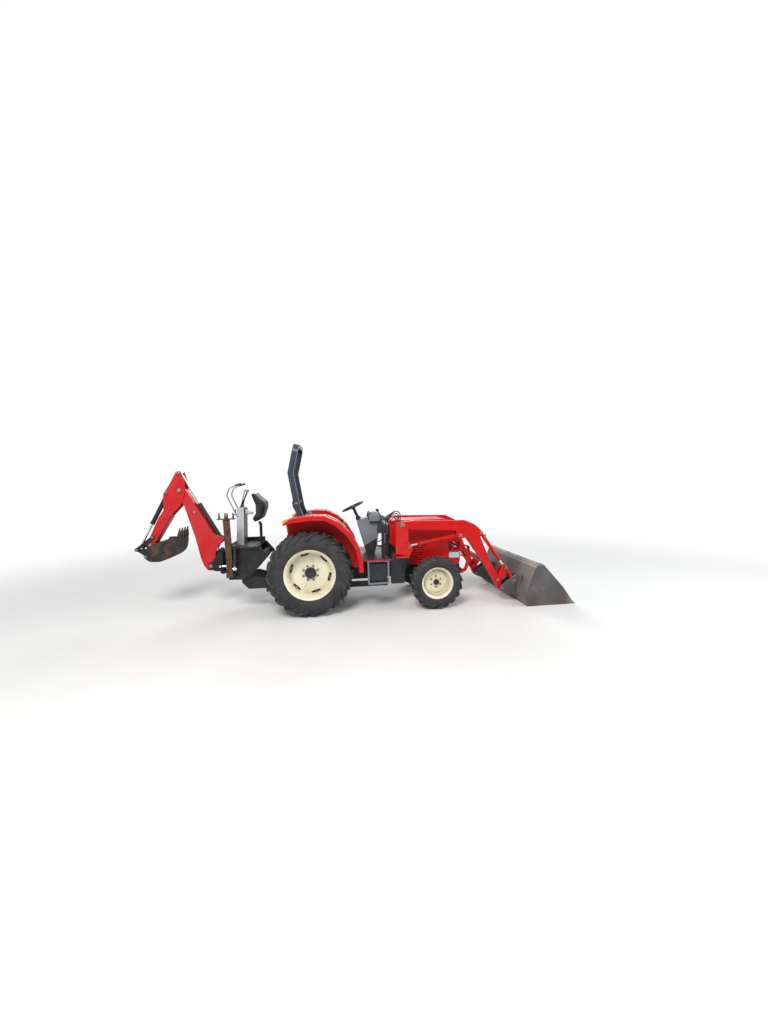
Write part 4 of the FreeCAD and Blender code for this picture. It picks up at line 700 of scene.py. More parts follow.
# %% [markdown]
# A bolt is a washer, a six-sided head with its corners turned down, and the end of a thread.
# A pin head is a chamfered disc with a grease nipple. Both are used all over the machine.

# %% Bolts and pin heads
WASHER = [(0, 0), (1.45, 0), (1.45, 0.22), (1.3, 0.3), (0, 0.3)]
HEAD = [(1.1, 0.25), (1.1, 0.85), (0.85, 1.05), (0, 1.05)]
THREAD_END = [(0.5, 1), (0.5, 1.35), (0.42, 1.45), (0, 1.45)]


def bolt(bm, seat, out, size=0.012):
    """A hexagon head of that half width, on a washer, with its face toward out."""
    for profile, sides in ((WASHER, 20), (HEAD, 6), (THREAD_END, 14)):
        turned(bm, profile, seat, out, sides, size)


def pin_head(bm, seat, out, radius=0.024, height=0.008):
    """The flat end of a pivot pin with a chamfer and a grease nipple."""
    turned(bm, [(radius, -0.002), (radius, height * 0.7), (radius * 0.88, height), (radius * 0.3, height),
                (radius * 0.26, height * 1.2), (radius * 0.2, height * 2.0), (0, height * 2.2)],
           seat, out, 24)


print("fittings: bolt, pin head")

# %% [markdown]
# The tyres are the machine's most telling shape. A farm tyre has a round flank, a broad
# shoulder and two rows of bars that meet in a V pointing the way it rolls. The carcass is a
# turned section given by two curves, and each bar is a short loft that lies on that section,
# swings back as it runs out to the shoulder, and thins out down the flank.

# %% The carcass and its bars
def carcass_point(tyre, angle):
    """Radius and side of the section; 0 is the crown, 90 degrees the widest point."""
    waist = tyre["rim"] + 0.40 * (tyre["crown"] - tyre["rim"])
    power = 2 / 3.0
    if angle <= math.pi / 2:
        side = tyre["half"] * math.copysign(abs(math.sin(angle)) ** power, angle)
        return waist + (tyre["crown"] - waist) * max(math.cos(angle), 0.0) ** power, side
    inward = (angle - math.pi / 2) / (math.pi / 2)
    side = tyre["bead"] + (tyre["half"] - tyre["bead"]) * math.cos(inward * math.pi / 2) ** 0.8
    return waist + (tyre["rim"] - waist) * math.sin(inward * math.pi / 2), side


def carcass(bm, tyre, sides=112, steps=16):
    """The turned casing, with a moulded ring standing out from each flank."""
    ring = tyre["rim"] + 0.30 * (tyre["crown"] - tyre["rim"])
    half = []
    for k in range(steps + 1):
        radius, side = carcass_point(tyre, math.pi * k / steps)
        bulge = 0.004 * math.exp(-((radius - ring) / 0.012) ** 2)
        half.append((radius, side + bulge))
    profile = [(radius, -side) for radius, side in half[::-1]] + half[1:]
    turned(bm, profile, Vector((0, 0, 0)), LEFT, sides)


BAR_SECTION = [(-0.62, -0.25), (-0.50, 0.86), (-0.40, 1.0), (0.40, 1.0), (0.50, 0.86), (0.62, -0.25)]
BAR_STATIONS = 9


def tread_bar(bm, tyre, row, start):
    """One bar from just past the middle line out and down the shoulder."""
    rings = []
    for k in range(BAR_STATIONS):
        t = k / (BAR_STATIONS - 1)
        angle = math.radians(-4 + 84 * t ** 0.9)
        radius, side = carcass_point(tyre, angle)
        ahead_radius, ahead_side = carcass_point(tyre, angle + 0.02)
        slope = Vector((0, ahead_side - side, ahead_radius - radius)).normalized()
        rise = Vector((0, -slope.z, slope.y))
        if rise.z < 0:
            rise = -rise
        height = tyre["bar"] * (1 - 0.72 * max(0, (t - 0.55) / 0.45) ** 1.5)
        width = tyre["bar_width"] * (0.86 + 0.34 * t)
        turn = start - tyre["sweep"] * (t ** 1.15)
        ring = []
        for across_bar, up in BAR_SECTION:
            place = Vector((width * across_bar, side, radius)) + rise * (height * up)
            place.y *= row
            ring.append(bm.verts.new(Matrix.Rotation(turn, 3, "Y") @ place))
        rings.append(ring)
    skin(bm, rings, closed=False)


print("bar stations:", BAR_STATIONS, "section points:", len(BAR_SECTION))

# %% [markdown]
# One table gives the two sizes of tyre. The tips of the bars stay a millimetre inside the
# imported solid's box, because the box is the true size. Both rows of bars swing back the same
# way, so the V points ahead on both sides of the machine.

# %% Four tyres
TYRES = {
    "rear": {"tip": REAR_TIP, "rim": 0.368, "bar": 0.031, "bars": 21, "bar_width": 0.040,
             "sweep": 0.30, "bead": 0.140},
    "front": {"tip": FRONT_TIP, "rim": 0.243, "bar": 0.022, "bars": 19, "bar_width": 0.027,
              "sweep": 0.31, "bead": 0.066},
}
FLANK_ROOM = 0.007
TIP_ROOM = 0.002


def make_tyre(size, hand):
    tyre = dict(TYRES[size])
    node = "tyre_%s_%s" % (size, hand)
    low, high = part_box(node)
    tyre["half"] = (high.y - low.y) / 2 - FLANK_ROOM
    tyre["crown"] = tyre["tip"] - tyre["bar"] - TIP_ROOM
    bm = bmesh.new()
    carcass(bm, tyre)
    for row in (-1, 1):
        for k in range(tyre["bars"]):
            tread_bar(bm, tyre, row, 2 * math.pi * (k + 0.25 * row) / tyre["bars"])
    hub = PIN["%s_wheel_%s" % (size, hand)].copy()
    hub.y = (low.y + high.y) / 2
    body = "wheel_%s_%s" % (size, hand)
    piece(body + "_tyre", bm, RUBBER[size], body, [node], 32.0, hub)


for size in TYRES:
    for hand in ("left", "right"):
        make_tyre(size, hand)

# %% [markdown]
# A wheel's dish is bolted to the hub, and on the rear wheels six more bolts hold the dish to
# the rim. The dark hub cap covers the axle's end. The dish's outer face is where the packed
# rims have it, a known step inboard of the rim's edge.

# %% Hub caps, wheel bolts and valves
RIM_BOLTS, RIM_CIRCLE, RIM_SUNK = 6, 0.289, 0.011
VALVE_TURN = 0.9
WHEEL_FIT = {
    "rear": {"face": 0.602, "cap": 0.080, "circle": 0.112, "bolts": 8, "bolt": 0.013, "valve": 0.318},
    "front": {"face": 0.627, "cap": 0.048, "circle": 0.083, "bolts": 6, "bolt": 0.011, "valve": 0.196},
}


def fit_wheel(size, hand):
    fit = WHEEL_FIT[size]
    out = 1 if hand == "left" else -1
    body = "wheel_%s_%s" % (size, hand)
    hub = PIN["%s_wheel_%s" % (size, hand)]
    face = Vector((hub.x, out * fit["face"], hub.z))
    aim = Vector((0, out, 0))
    bm = bmesh.new()
    for k in range(fit["bolts"]):
        turn = 2 * math.pi * (k + 0.5) / fit["bolts"]
        bolt(bm, face + Vector((math.cos(turn), 0, math.sin(turn))) * fit["circle"], aim, fit["bolt"])
    if size == "rear":
        for k in range(RIM_BOLTS):
            turn = 2 * math.pi * (k + 0.75) / RIM_BOLTS
            place = Vector((math.cos(turn) * RIM_CIRCLE, -out * RIM_SUNK, math.sin(turn) * RIM_CIRCLE))
            bolt(bm, face + place, aim, 0.012)
    piece(body + "_bolts", bm, ZINC, body)
    bm = bmesh.new()
    cap = fit["cap"]
    turned(bm, [(cap * 1.06, 0), (cap * 1.06, 0.006), (cap, 0.008), (cap * 0.97, 0.030),
                (cap * 0.86, 0.037), (cap * 0.62, 0.038), (cap * 0.58, 0.034), (cap * 0.25, 0.034),
                (cap * 0.2, 0.040), (0, 0.041)], face, aim, 40)
    stem = face + Vector((math.cos(VALVE_TURN), 0, math.sin(VALVE_TURN))) * fit["valve"]
    turned(bm, [(0.007, -0.004), (0.006, 0.020), (0.0045, 0.022), (0.0045, 0.036), (0, 0.037)], stem, aim, 12)
    piece(body + "_cap", bm, BLACK, body)


for size in WHEEL_FIT:
    for hand in ("left", "right"):
        fit_wheel(size, hand)

# %% [markdown]
# Behind the bonnet's slots the real machine has a fine wire screen in front of the radiator.
# A grid of thin wires is made as bars, because a flat dark sheet would look painted on. It
# rides on the bonnet.

# %% Screens behind the bonnet's slots
def screen(bm, corner, right, up, columns, rows, wire=0.0012):
    """A wire grid over the rectangle from a corner along two edge vectors."""
    for k in range(columns + 1):
        foot = corner + right * (k / columns)
        tube(bm, [foot, foot + up], wire, 4)
    for k in range(rows + 1):
        foot = corner + up * (k / rows)
        tube(bm, [foot, foot + right], wire, 4)


bm = bmesh.new()
screen(bm, spot(2.335, -0.20, 0.69), LEFT * 0.40, Vector((-0.02, 0, 0.50)), 44, 54)
for side in (-1, 1):
    screen(bm, spot(1.480, side * 0.292, 0.632), AHEAD * 0.36, UP * 0.320, 40, 36)
    screen(bm, spot(2.210, side * 0.292, 0.832), AHEAD * 0.13, UP * 0.134, 15, 15)
piece("bonnet_screens", bm, PLASTIC, "hood")

# %% [markdown]
# Bolts and pins must sit on the metal, not near it. Measuring each seat by hand would break as
# soon as a solid changed, so a line is shot at the solids instead and the fitting goes where it
# lands. The solid that is met first also says which body the fitting rides on, and fittings
# are gathered by body until they become pieces.

# %% Landing a fitting on a solid
bpy.context.view_layer.update()
BODY_OF = {node: body for body, nodes in frame["record"]["behaviour"]["bodies"].items() for node in nodes}


def landing(start, aim, nodes=None):
    """The first solid that a line from start along aim meets: its name, the place and the normal."""
    start, aim = Vector(start), Vector(aim).normalized()
    nearest = None
    for name in nodes or NODES:
        if NODES[name].hide_viewport:
            continue
        hit, place, normal, _ = NODES[name].ray_cast(start, aim)
        if hit and (nearest is None or (place - start).length < (nearest[1] - start).length):
            nearest = (name, place, normal)
    if nearest is None:
        raise ValueError("nothing ahead of %s" % (tuple(start),))
    return nearest


class Fittings:
    """Meshes of small parts, one for each body that they land on."""

    def __init__(self, name, finish, slot):
        self.name, self.finish, self.slot = name, finish, slot
        self.meshes = {}

    def on(self, body):
        if body not in self.meshes:
            self.meshes[body] = bmesh.new()
        return self.meshes[body]

    def done(self):
        for body, bm in self.meshes.items():
            piece("%s_on_%s" % (self.name, body), bm, self.finish, body)


# %% [markdown]
# Every pivot of the loader and of the digging arm shows the flat silver end of its pin, with a
# grease nipple in the middle. The loader's larger pins have a small keeper bolt that stops them
# from turning. A table gives the pivots in the plane of the arm. Where the arms are a pair, each
# pin is met from outside and from inside.

# %% Pin heads of both arms
INNER_SIDE = 0.33
KEEPER_FROM = 0.021
PIVOTS = {
    # side to start from: (ahead, height, radius) of each pin; a wide pair is met from inside too
    0.75: [(1.400, 1.292, 0.030), (1.524, 0.962, 0.024), (2.325, 1.100, 0.024), (2.668, 1.132, 0.024),
           (2.938, 0.362, 0.022), (2.990, 0.228, 0.024), (3.068, 0.552, 0.022), (3.196, 0.345, 0.022)],
    0.60: [(-0.190, 1.655, 0.018)],
    0.40: [(-1.957, 1.881, 0.028), (-2.148, 1.853, 0.022), (-1.758, 1.540, 0.022),
           (-1.560, 0.690, 0.028), (-1.957, 2.146, 0.024), (-2.405, 1.062, 0.024),
           (-2.376, 1.176, 0.018), (-2.612, 0.990, 0.020), (-2.478, 0.884, 0.022)],
}


def keeper(bm, place, aim, radius):
    """The small bolt beside a pin's end."""
    first, second = across(aim)
    beside = place + (first * 0.8 + second * 0.6) * (radius + 0.010)
    bolt(bm, beside, aim, 0.0065)


def pivot_head(heads, ahead, height, radius, far, side):
    starts = [(far * side, -side)]
    if far > 0.5:
        starts.append((INNER_SIDE * side, side))
    for y, way in starts:
        node, place, normal = landing(spot(ahead, y, height), LEFT * way)
        if abs(normal.y) > 0.97:
            bm = heads.on(BODY_OF[node])
            pin_head(bm, place, LEFT * -way, radius)
            if radius > KEEPER_FROM and far > 0.5:
                keeper(bm, place, LEFT * -way, radius)


def pivot_heads():
    heads = Fittings("pins", ZINC, "castings")
    for far, pins in PIVOTS.items():
        for ahead, height, radius in pins:
            for side in (-1, 1):
                pivot_head(heads, ahead, height, radius, far, side)
    heads.done()


pivot_heads()

# %% [markdown]
# Bolted joints give the machine its scale. Each row of the next table is a bolt seen from one
# side: where the line starts, where it looks, and half the head's width. Each is made for the
# left and for the right.

# %% Bolts on the frame, the guard and the panels
INWARD, DOWN = -LEFT, -UP
BOLTS = [
    # ahead, side, height, way it looks, half width
    (1.285, 0.60, 0.420, INWARD, 0.013), (1.415, 0.60, 0.420, INWARD, 0.013),
    (1.300, 0.60, 0.600, INWARD, 0.013), (1.430, 0.60, 0.600, INWARD, 0.013),
    (1.330, 0.60, 0.740, INWARD, 0.013), (1.460, 0.60, 0.740, INWARD, 0.013),
    (2.330, 0.60, 0.500, INWARD, 0.011), (2.400, 0.60, 0.500, INWARD, 0.011),
    (0.700, 0.50, 0.640, INWARD, 0.010), (1.000, 0.50, 0.640, INWARD, 0.010),
    (-1.100, 0.60, 0.560, INWARD, 0.013), (-1.000, 0.60, 0.560, INWARD, 0.013),
    (-1.100, 0.60, 0.900, INWARD, 0.013), (-0.950, 0.60, 0.900, INWARD, 0.013),
    (-0.800, 0.60, 0.880, INWARD, 0.013), (-0.880, 0.60, 0.520, INWARD, 0.013),
    (-1.140, 0.30, 1.200, DOWN, 0.010), (-0.830, 0.30, 1.200, DOWN, 0.010),
    (-0.830, 0.10, 1.200, DOWN, 0.010), (-1.000, 0.25, 1.200, DOWN, 0.010),
    (1.190, 0.45, 0.900, DOWN, 0.011), (0.300, 0.50, 1.700, DOWN, 0.008),
    (0.060, 0.74, 1.700, DOWN, 0.008), (-0.200, 0.74, 1.700, DOWN, 0.008),
    (-0.150, 0.455, 1.700, DOWN, 0.008), (0.120, 0.455, 1.700, DOWN, 0.008),
]


def frame_bolts():
    heads = Fittings("bolts", BLACK, "black_paint")
    for ahead, side, height, aim, size in BOLTS:
        for hand in (-1, 1):
            way = Vector((aim[0], aim[1] * hand, aim[2]))
            node, place, normal = landing(spot(ahead, side * hand, height), way)
            if normal.dot(way) < -0.8:
                bolt(heads.on(BODY_OF[node]), place, normal, size)
    heads.done()


frame_bolts()

# %% [markdown]
# The seats are vinyl over foam. A stiff slab would look wrong, because foam under a sewn cover
# bulges between its seams. Each cushion starts as a rounded closed shape a little smaller than
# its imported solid, gets an even skin by voxel remeshing, and is blown up by Cloth with a low
# pressure and no gravity. How far a point may move is capped, and the result is written into
# the mesh, so that no simulation is left on the piece.

# %% Blowing up a cushion
LAST_MOMENT = 20


def bake_in(thing):
    """The object's mesh becomes what its modifiers make of it."""
    real = thing.evaluated_get(bpy.context.evaluated_depsgraph_get())
    made = bpy.data.meshes.new_from_object(real)
    thing.modifiers.clear()
    thing.data = made


def blown_up(bm, voxel, cap, pressure=4.0):
    thing = placed("cushion", bm)
    remesh = thing.modifiers.new("skin", "REMESH")
    remesh.mode = "VOXEL"
    remesh.voxel_size = voxel
    bake_in(thing)
    before = [v.co.copy() for v in thing.data.vertices]
    cloth = thing.modifiers.new("foam", "CLOTH")
    cloth.settings.use_pressure = True
    cloth.settings.uniform_pressure_force = pressure
    cloth.settings.effector_weights.gravity = 0.0
    cloth.settings.quality = 4
    for moment in range(1, LAST_MOMENT + 1):
        bpy.context.scene.frame_set(moment)
    bake_in(thing)
    bpy.context.scene.frame_set(1)
    for old, vertex in zip(before, thing.data.vertices):
        way = vertex.co - old
        if way.length > cap:
            vertex.co = old + way * (cap / way.length)
    return thing


def rounded_block(bm, low, high, plan=0.42, side=0.50, around=64, up=32):
    """A closed block whose plan and sides are both rounded, as a stuffed pad is."""
    middle, half = (low + high) / 2, (high - low) / 2

    def bent(value, power):
        return math.copysign(abs(value) ** power, value)

    rings = []
    for j in range(1, up):
        lift = -math.pi / 2 + math.pi * j / up
        ring = []
        for k in range(around):
            turn = 2 * math.pi * k / around
            reach = bent(math.cos(lift), side)
            from_middle = Vector((half.x * reach * bent(math.cos(turn), plan),
                                  half.y * reach * bent(math.sin(turn), plan),
                                  half.z * bent(math.sin(lift), side)))
            ring.append(bm.verts.new(middle + from_middle))
        rings.append(ring)
    skin(bm, rings)


print("cushions by cloth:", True)

# %% [markdown]
# The driver's seat is a pan and a back on one moulded shell. Its cover is sewn in channels: two
# run along the pan, one crosses it, and two run up the back. They come after the simulation as
# a gentle press on the points near each seam, because the remesh would erase such a narrow line.

# %% Driver's seat
SEAT_LOW, SEAT_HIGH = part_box("seat")
BACK_LEAN = math.radians(-10.0)
BACK_FOOT = spot(0.015, 0, 1.220)


def press_seams(mesh, seams, depth, width):
    """Sinks the points near each seam; a seam gives the distance of a point from its line."""
    mesh.update()
    normals = [v.normal.copy() for v in mesh.vertices]
    for vertex, normal in zip(mesh.vertices, normals):
        sink = max(math.exp(-(seam(vertex.co) / width) ** 2) for seam in seams)
        vertex.co -= normal * (depth * sink)


def cushion_piece(name, thing, body, stands_for=()):
    """Turns a blown-up object into a finished piece."""
    soft = thing.modifiers.new("soft", "SUBSURF")
    soft.levels = 1
    soft.render_levels = 1
    bake_in(thing)
    bm = bmesh.new()
    bm.from_mesh(thing.data)
    bpy.data.objects.remove(thing)
    made = piece(name, bm, VINYL, body, stands_for, 80.0)
    return made


def driver_seat():
    bm = bmesh.new()
    low = Vector((SEAT_LOW.x + 0.050, SEAT_LOW.y + 0.014, SEAT_LOW.z + 0.030))
    high = Vector((SEAT_HIGH.x - 0.012, SEAT_HIGH.y - 0.014, SEAT_LOW.z + 0.088))
    rounded_block(bm, low, high, 0.40, 0.55)
    for vertex in bm.verts:
        outward = (vertex.co.y / high.y) ** 2
        front = max(0.0, (vertex.co.x - low.x) / (high.x - low.x) - 0.7)
        vertex.co.z += 0.010 * outward - 0.05 * front ** 2 - 0.006
    pan = blown_up(bm, 0.006, 0.010)
    seams = [lambda p: abs(p.y) - 0.105, lambda p: p.x - (low.x + 0.36 * (high.x - low.x))]
    press_seams(pan.data, seams, 0.006, 0.009)
    cushion_piece("driver_seat_pan", pan, "tractor", ["seat"])
    bm = bmesh.new()
    rounded_block(bm, Vector((-0.036, -0.200, 0.010)), Vector((0.030, 0.200, 0.275)), 0.50, 0.40)
    lean = Matrix.Rotation(BACK_LEAN, 4, "Y")
    for vertex in bm.verts:
        vertex.co.x += 0.30 * vertex.co.y ** 2
    bmesh.ops.transform(bm, matrix=Matrix.Translation(BACK_FOOT) @ lean, verts=bm.verts)
    back = blown_up(bm, 0.006, 0.010)
    press_seams(back.data, [lambda p: abs(p.y) - 0.095], 0.006, 0.009)
    cushion_piece("driver_seat_back", back, "tractor")
    bm = bmesh.new()
    front, rear, foot = SEAT_HIGH.x, SEAT_LOW.x, SEAT_LOW.z
    shell = [(rear + 0.045, foot + 0.002), (front - 0.03, foot + 0.002), (front - 0.006, foot + 0.040),
             (front - 0.020, foot + 0.046), (front - 0.05, foot + 0.028), (rear + 0.060, foot + 0.028)]
    plate(bm, [Vector((x, 0, z)) for x, z in shell], SEAT_HIGH.y - 0.012, 0.004)
    back_shell = [(-0.052, -0.070), (-0.036, -0.074), (-0.034, 0.250), (-0.050, 0.256)]
    behind = bmesh.new()
    plate(behind, [Vector((x, 0, z)) for x, z in back_shell], 0.185, 0.004)
    bmesh.ops.transform(behind, matrix=Matrix.Translation(BACK_FOOT) @ lean, verts=behind.verts)
    held = bpy.data.meshes.new("seat back shell")
    behind.to_mesh(held)
    behind.free()
    bm.from_mesh(held)
    piece("driver_seat_shell", bm, PLASTIC, "tractor")


driver_seat()

# %% [markdown]
# The digging arm's seat is tipped up against its post, as the machine is parked. From the side
# it is a bent pad, thick in the fold and thin at both ends. Its outline is swept across, the
# same Cloth step puffs it, and smoothing its skin afterwards rounds the hard edges.

# %% Digging arm's seat
HOE_SEAT = [(-0.886, 1.412), (-0.850, 1.366), (-0.752, 1.434), (-0.702, 1.572), (-0.690, 1.664),
            (-0.794, 1.758), (-0.850, 1.816), (-0.893, 1.810), (-0.828, 1.632), (-0.826, 1.505)]
SMOOTHINGS = 14


def digger_seat():
    low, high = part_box("hoe_seat")
    half = high.y - 0.014
    bm = bmesh.new()
    plate(bm, [spot(x, 0, z) for x, z in HOE_SEAT], half)
    bmesh.ops.recalc_face_normals(bm, faces=bm.faces)
    pad = blown_up(bm, 0.007, 0.008)
    soft = bmesh.new()
    soft.from_mesh(pad.data)
    for _ in range(SMOOTHINGS):
        bmesh.ops.smooth_vert(soft, verts=soft.verts, factor=0.5,
                              use_axis_x=True, use_axis_y=True, use_axis_z=True)
    for vertex in soft.verts:
        vertex.co.x -= 0.10 * vertex.co.y ** 2
    soft.to_mesh(pad.data)
    soft.free()
    fold = spot(0, 0, 1.640).z
    press_seams(pad.data, [lambda p: p.z - fold, lambda p: abs(p.y) - (half - 0.035)], 0.004, 0.008)
    cushion_piece("digger_seat_pad", pad, "hoe_seat", ["hoe_seat"])


digger_seat()

# %% [markdown]
# The dash faces the driver with one dark panel: a large dial for engine speed between a fuel
# and a temperature dial, a row of small lamps, a key and a turning switch. The faces carry
# plain ticks. The panel lies on the cowl's rear face, whose place is found by a line from the
# seat, so the dials keep to it.

# %% Dash panel and dials
FACE_RISE, NEEDLE_RISE = 0.0028, 0.0036
BEZEL = [(1.16, -0.001), (1.16, 0.006), (1.06, 0.009), (1.0, 0.006), (1.0, 0.002), (0, 0.002)]


def dial(bm, marks, centre, out, up, radius, ticks, reading):
    """A bezel with raised ticks round its face, and a needle."""
    turned(bm, [(share * radius, along) for share, along in BEZEL], centre, out, 36)
    right = up.cross(out)

    def ray(degrees):
        turn = math.radians(degrees)
        return up * math.cos(turn) + right * math.sin(turn)

    face = centre + out * FACE_RISE
    for k in range(ticks):
        way = ray(-130 + 260 * k / (ticks - 1))
        inner = 0.70 if k % 2 == 0 else 0.80
        tube(marks, [face + way * radius * inner, face + way * radius * 0.93], 0.0007, 4)
    way = ray(reading)
    pivot = centre + out * NEEDLE_RISE
    tube(marks, [pivot - way * radius * 0.15, pivot + way * radius * 0.66], 0.0010, 5)
    turned(marks, [(radius * 0.12, 0.002), (radius * 0.10, 0.006), (0, 0.006)], centre, out, 14)


DASH_THICK = 0.004
DASH_OUTLINE = [(-0.172, -0.006), (-0.110, -0.010), (0.110, -0.010), (0.172, -0.006),
                (0.176, 0.060), (0.140, 0.104), (-0.140, 0.104), (-0.176, 0.060)]
DIALS = [
    # side, height up the panel, radius, ticks, where the needle points in degrees
    (0.0, 0.074, 0.026, 11, -96), (0.084, 0.062, 0.022, 7, 30), (-0.084, 0.062, 0.022, 7, -40),
]


def dash_panel():
    low = landing(spot(0.60, 0.130, 1.350), AHEAD, ["dash_console"])[1]
    high = landing(spot(0.60, 0.130, 1.440), AHEAD, ["dash_console"])[1]
    up = Vector((high.x - low.x, 0, high.z - low.z)).normalized()
    out = Vector((-up.z, 0, up.x))
    foot = Vector((low.x, 0, low.z)) + out * 0.001

    def at(y, rise):
        return foot + LEFT * y + up * rise

    bm = bmesh.new()
    outline = [at(y, rise) for y, rise in DASH_OUTLINE]
    slab(bm, outline[::-1], out * DASH_THICK, 0.0012)
    proud = out * DASH_THICK
    marks = bmesh.new()
    for y, rise, radius, ticks, reading in DIALS:
        dial(bm, marks, at(y, rise) + proud, out, up, radius, ticks, reading)
    for k in range(5):
        lamp_at = at((k - 2) * 0.014, 0.034) + proud
        turned(bm, [(0.0045, 0), (0.0045, 0.002), (0.003, 0.0034), (0, 0.0038)], lamp_at, out, 14)
    piece("dash_panel", bm, PLASTIC, "tractor")
    piece("dash_marks", marks, PALE, "tractor")
    bm = bmesh.new()
    lock = at(-0.142, 0.030) + proud
    turned(bm, [(0.013, 0), (0.013, 0.005), (0.009, 0.008), (0, 0.008)], lock, out, 24)
    key = lock + out * 0.008
    block(bm, key - Vector((0.012, 0.0012, 0.008)), key + Vector((0.004, 0.0012, 0.008)), 0.0006)
    switch = at(0.142, 0.030) + proud
    turned(bm, [(0.012, 0), (0.011, 0.012), (0.008, 0.015), (0, 0.015)], switch, out, 8)
    piece("dash_key_and_switch", bm, ZINC, "tractor")


dash_panel()

# %% [markdown]
# A rubber lip runs round the cowl's rear edge and keeps the glare off the dials, and a boot
# closes the gap between the steering column and its shroud. Both are black, and both help the
# blue-grey mouldings to read as separate parts.

# %% Cowl lip, column boot and wheel cap
WHEEL_TILT = math.radians(23.8)
WHEEL_CENTRE = spot(0.677, 0, 1.562)
COLUMN_AXIS = Vector((-math.sin(WHEEL_TILT), 0, math.cos(WHEEL_TILT)))


def cowl_trim():
    bm = bmesh.new()
    path = []
    for y in (-0.198, -0.190, -0.170, -0.150, -0.120, -0.060, 0.0, 0.060, 0.120, 0.150, 0.170, 0.190, 0.198):
        place = landing(spot(0.950, y, 1.70), DOWN, ["dash_console"])[1]
        path.append(place + Vector((-0.004, 0, 0.001)))
    tube(bm, path, 0.0065, 10)
    shroud_top = WHEEL_CENTRE - COLUMN_AXIS * 0.215
    turned(bm, [(0.050, -0.008), (0.047, 0.004), (0.042, 0.008), (0.043, 0.016), (0.036, 0.020),
                (0.037, 0.028), (0.030, 0.034), (0.0255, 0.046)], shroud_top, COLUMN_AXIS, 32)
    piece("cowl_lip_and_boot", bm, HOSE, "tractor")
    bm = bmesh.new()
    turned(bm, [(0.040, -0.004), (0.041, 0.004), (0.036, 0.011), (0.020, 0.015), (0, 0.016)],
           WHEEL_CENTRE, COLUMN_AXIS, 40)
    piece("steering_wheel_cap", bm, PLASTIC, "steering_wheel")


cowl_trim()

# %% [markdown]
# The levers end in moulded knobs: an orange one on the fender for the hitch, pale ones for the
# digging arm, a large black one on the loader's stick. A knob is a turned pear with a collar,
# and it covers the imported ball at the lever's end.

# %% Lever knobs
KNOB = [(0, -1.30), (0.50, -1.28), (0.56, -0.95), (0.90, -0.45), (1.08, 0.10), (1.0, 0.62),
        (0.62, 1.0), (0, 1.12)]
BACKWARD_LEAN, FORWARD_LEAN = (-0.4, 0, 1), (0.4, 0, 1)
DIGGER_LEVERS = (-0.070, -0.025, 0.025, 0.070)


def lever_knobs():
    bm = bmesh.new()
    turned(bm, KNOB, spot(0.525, -0.403, 1.350), FORWARD_LEAN, 28, 0.019)
    piece("hitch_lever_knob", bm, ORANGE, "tractor")
    bm = bmesh.new()
    turned(bm, KNOB, spot(0.490, -0.403, 1.375), FORWARD_LEAN, 28, 0.019)
    turned(bm, KNOB, spot(1.030, -0.440, 1.520), BACKWARD_LEAN, 28, 0.024)
    piece("black_lever_knobs", bm, PLASTIC, "tractor")
    bm = bmesh.new()
    for y in DIGGER_LEVERS:
        turned(bm, KNOB, spot(-0.960 - 0.6 * abs(y), y, 1.858), FORWARD_LEAN, 28, 0.019)
    piece("digger_lever_knobs", bm, PALE, "tractor")
    bm = bmesh.new()
    for y in DIGGER_LEVERS:
        turned(bm, [(0.019, 0), (0.019, 0.003), (0.014, 0.007), (0.016, 0.012), (0.010, 0.018),
                    (0.012, 0.023), (0.0065, 0.036)], spot(-1.072, y, 1.5965), (0.1, 0, 1), 20)
    turned(bm, [(0.030, 0), (0.030, 0.004), (0.020, 0.012), (0.023, 0.020), (0.014, 0.030),
                (0.0085, 0.050)], spot(1.1, -0.440, 1.291), UP, 24)
    piece("lever_boots", bm, HOSE, "tractor")
    bm = bmesh.new()
    for hand in (-1, 1):
        path = [spot(-1.125 + 0.02 * k, hand * 0.132, 1.9395 + 0.0057 * k) for k in range(5)]
        tube(bm, path, 0.0145, 14)
        turned(bm, [(0.018, 0), (0.018, 0.006), (0, 0.007)], path[-1], (1, 0, 0.28), 16)
    piece("grab_handle_grips", bm, HOSE, "tractor")


lever_knobs()

# %% [markdown]
# On the near fender a pale moulding follows the sheet's slope and carries the levers' slots.
# Its outline is walked along the fender: for each station a line is dropped onto the sheet, so
# the moulding bends with it.

# %% Pale panel on the fender
def strip_on(bm, stations, left, right, rise, thick):
    """A strip that lies on what is below its stations, as a bent plate with square ends."""
    section = ((left, rise), (left + 0.004, rise + thick), (right - 0.004, rise + thick), (right, rise))
    rows = []
    for ahead in stations:
        node, place, normal = landing(spot(ahead, (left + right) / 2, 1.80), DOWN, ["fenders"])
        flat = Vector((normal.x, 0, normal.z))
        rows.append([bm.verts.new(Vector((place.x, y, place.z)) + flat * lift) for y, lift in section])
    skin(bm, rows, closed=False)


def fender_panels():
    bm = bmesh.new()
    strip_on(bm, [0.275 + 0.02 * k for k in range(14)], -0.548, -0.452, 0.001, 0.010)
    piece("fender_panel", bm, PALE, "tractor")
    bm = bmesh.new()
    strip_on(bm, [0.262 + 0.02 * k for k in range(16)], -0.556, -0.444, 0.0005, 0.0045)
    strip_on(bm, [0.325 + 0.02 * k for k in range(9)], -0.506, -0.494, 0.010, 0.0025)
    piece("fender_panel_trim", bm, PLASTIC, "tractor")


fender_panels()

# %% [markdown]
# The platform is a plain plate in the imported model. On the machine a ribbed rubber mat lies on
# it, a red strip edges it, pedals stand on it, and the steps have teeth for a boot's sole.

# %% Mat, pedals and step teeth
FLOOR_TOP = 0.779
MAT_RIBS, STEP_TEETH = 17, 15
PEDALS = [(0.235, 0.075), (-0.205, 0.060), (-0.275, 0.060)]
PEDAL_ARM = [(1.018, 0.954), (1.060, 0.930), (1.130, 0.925), (1.180, 0.960)]


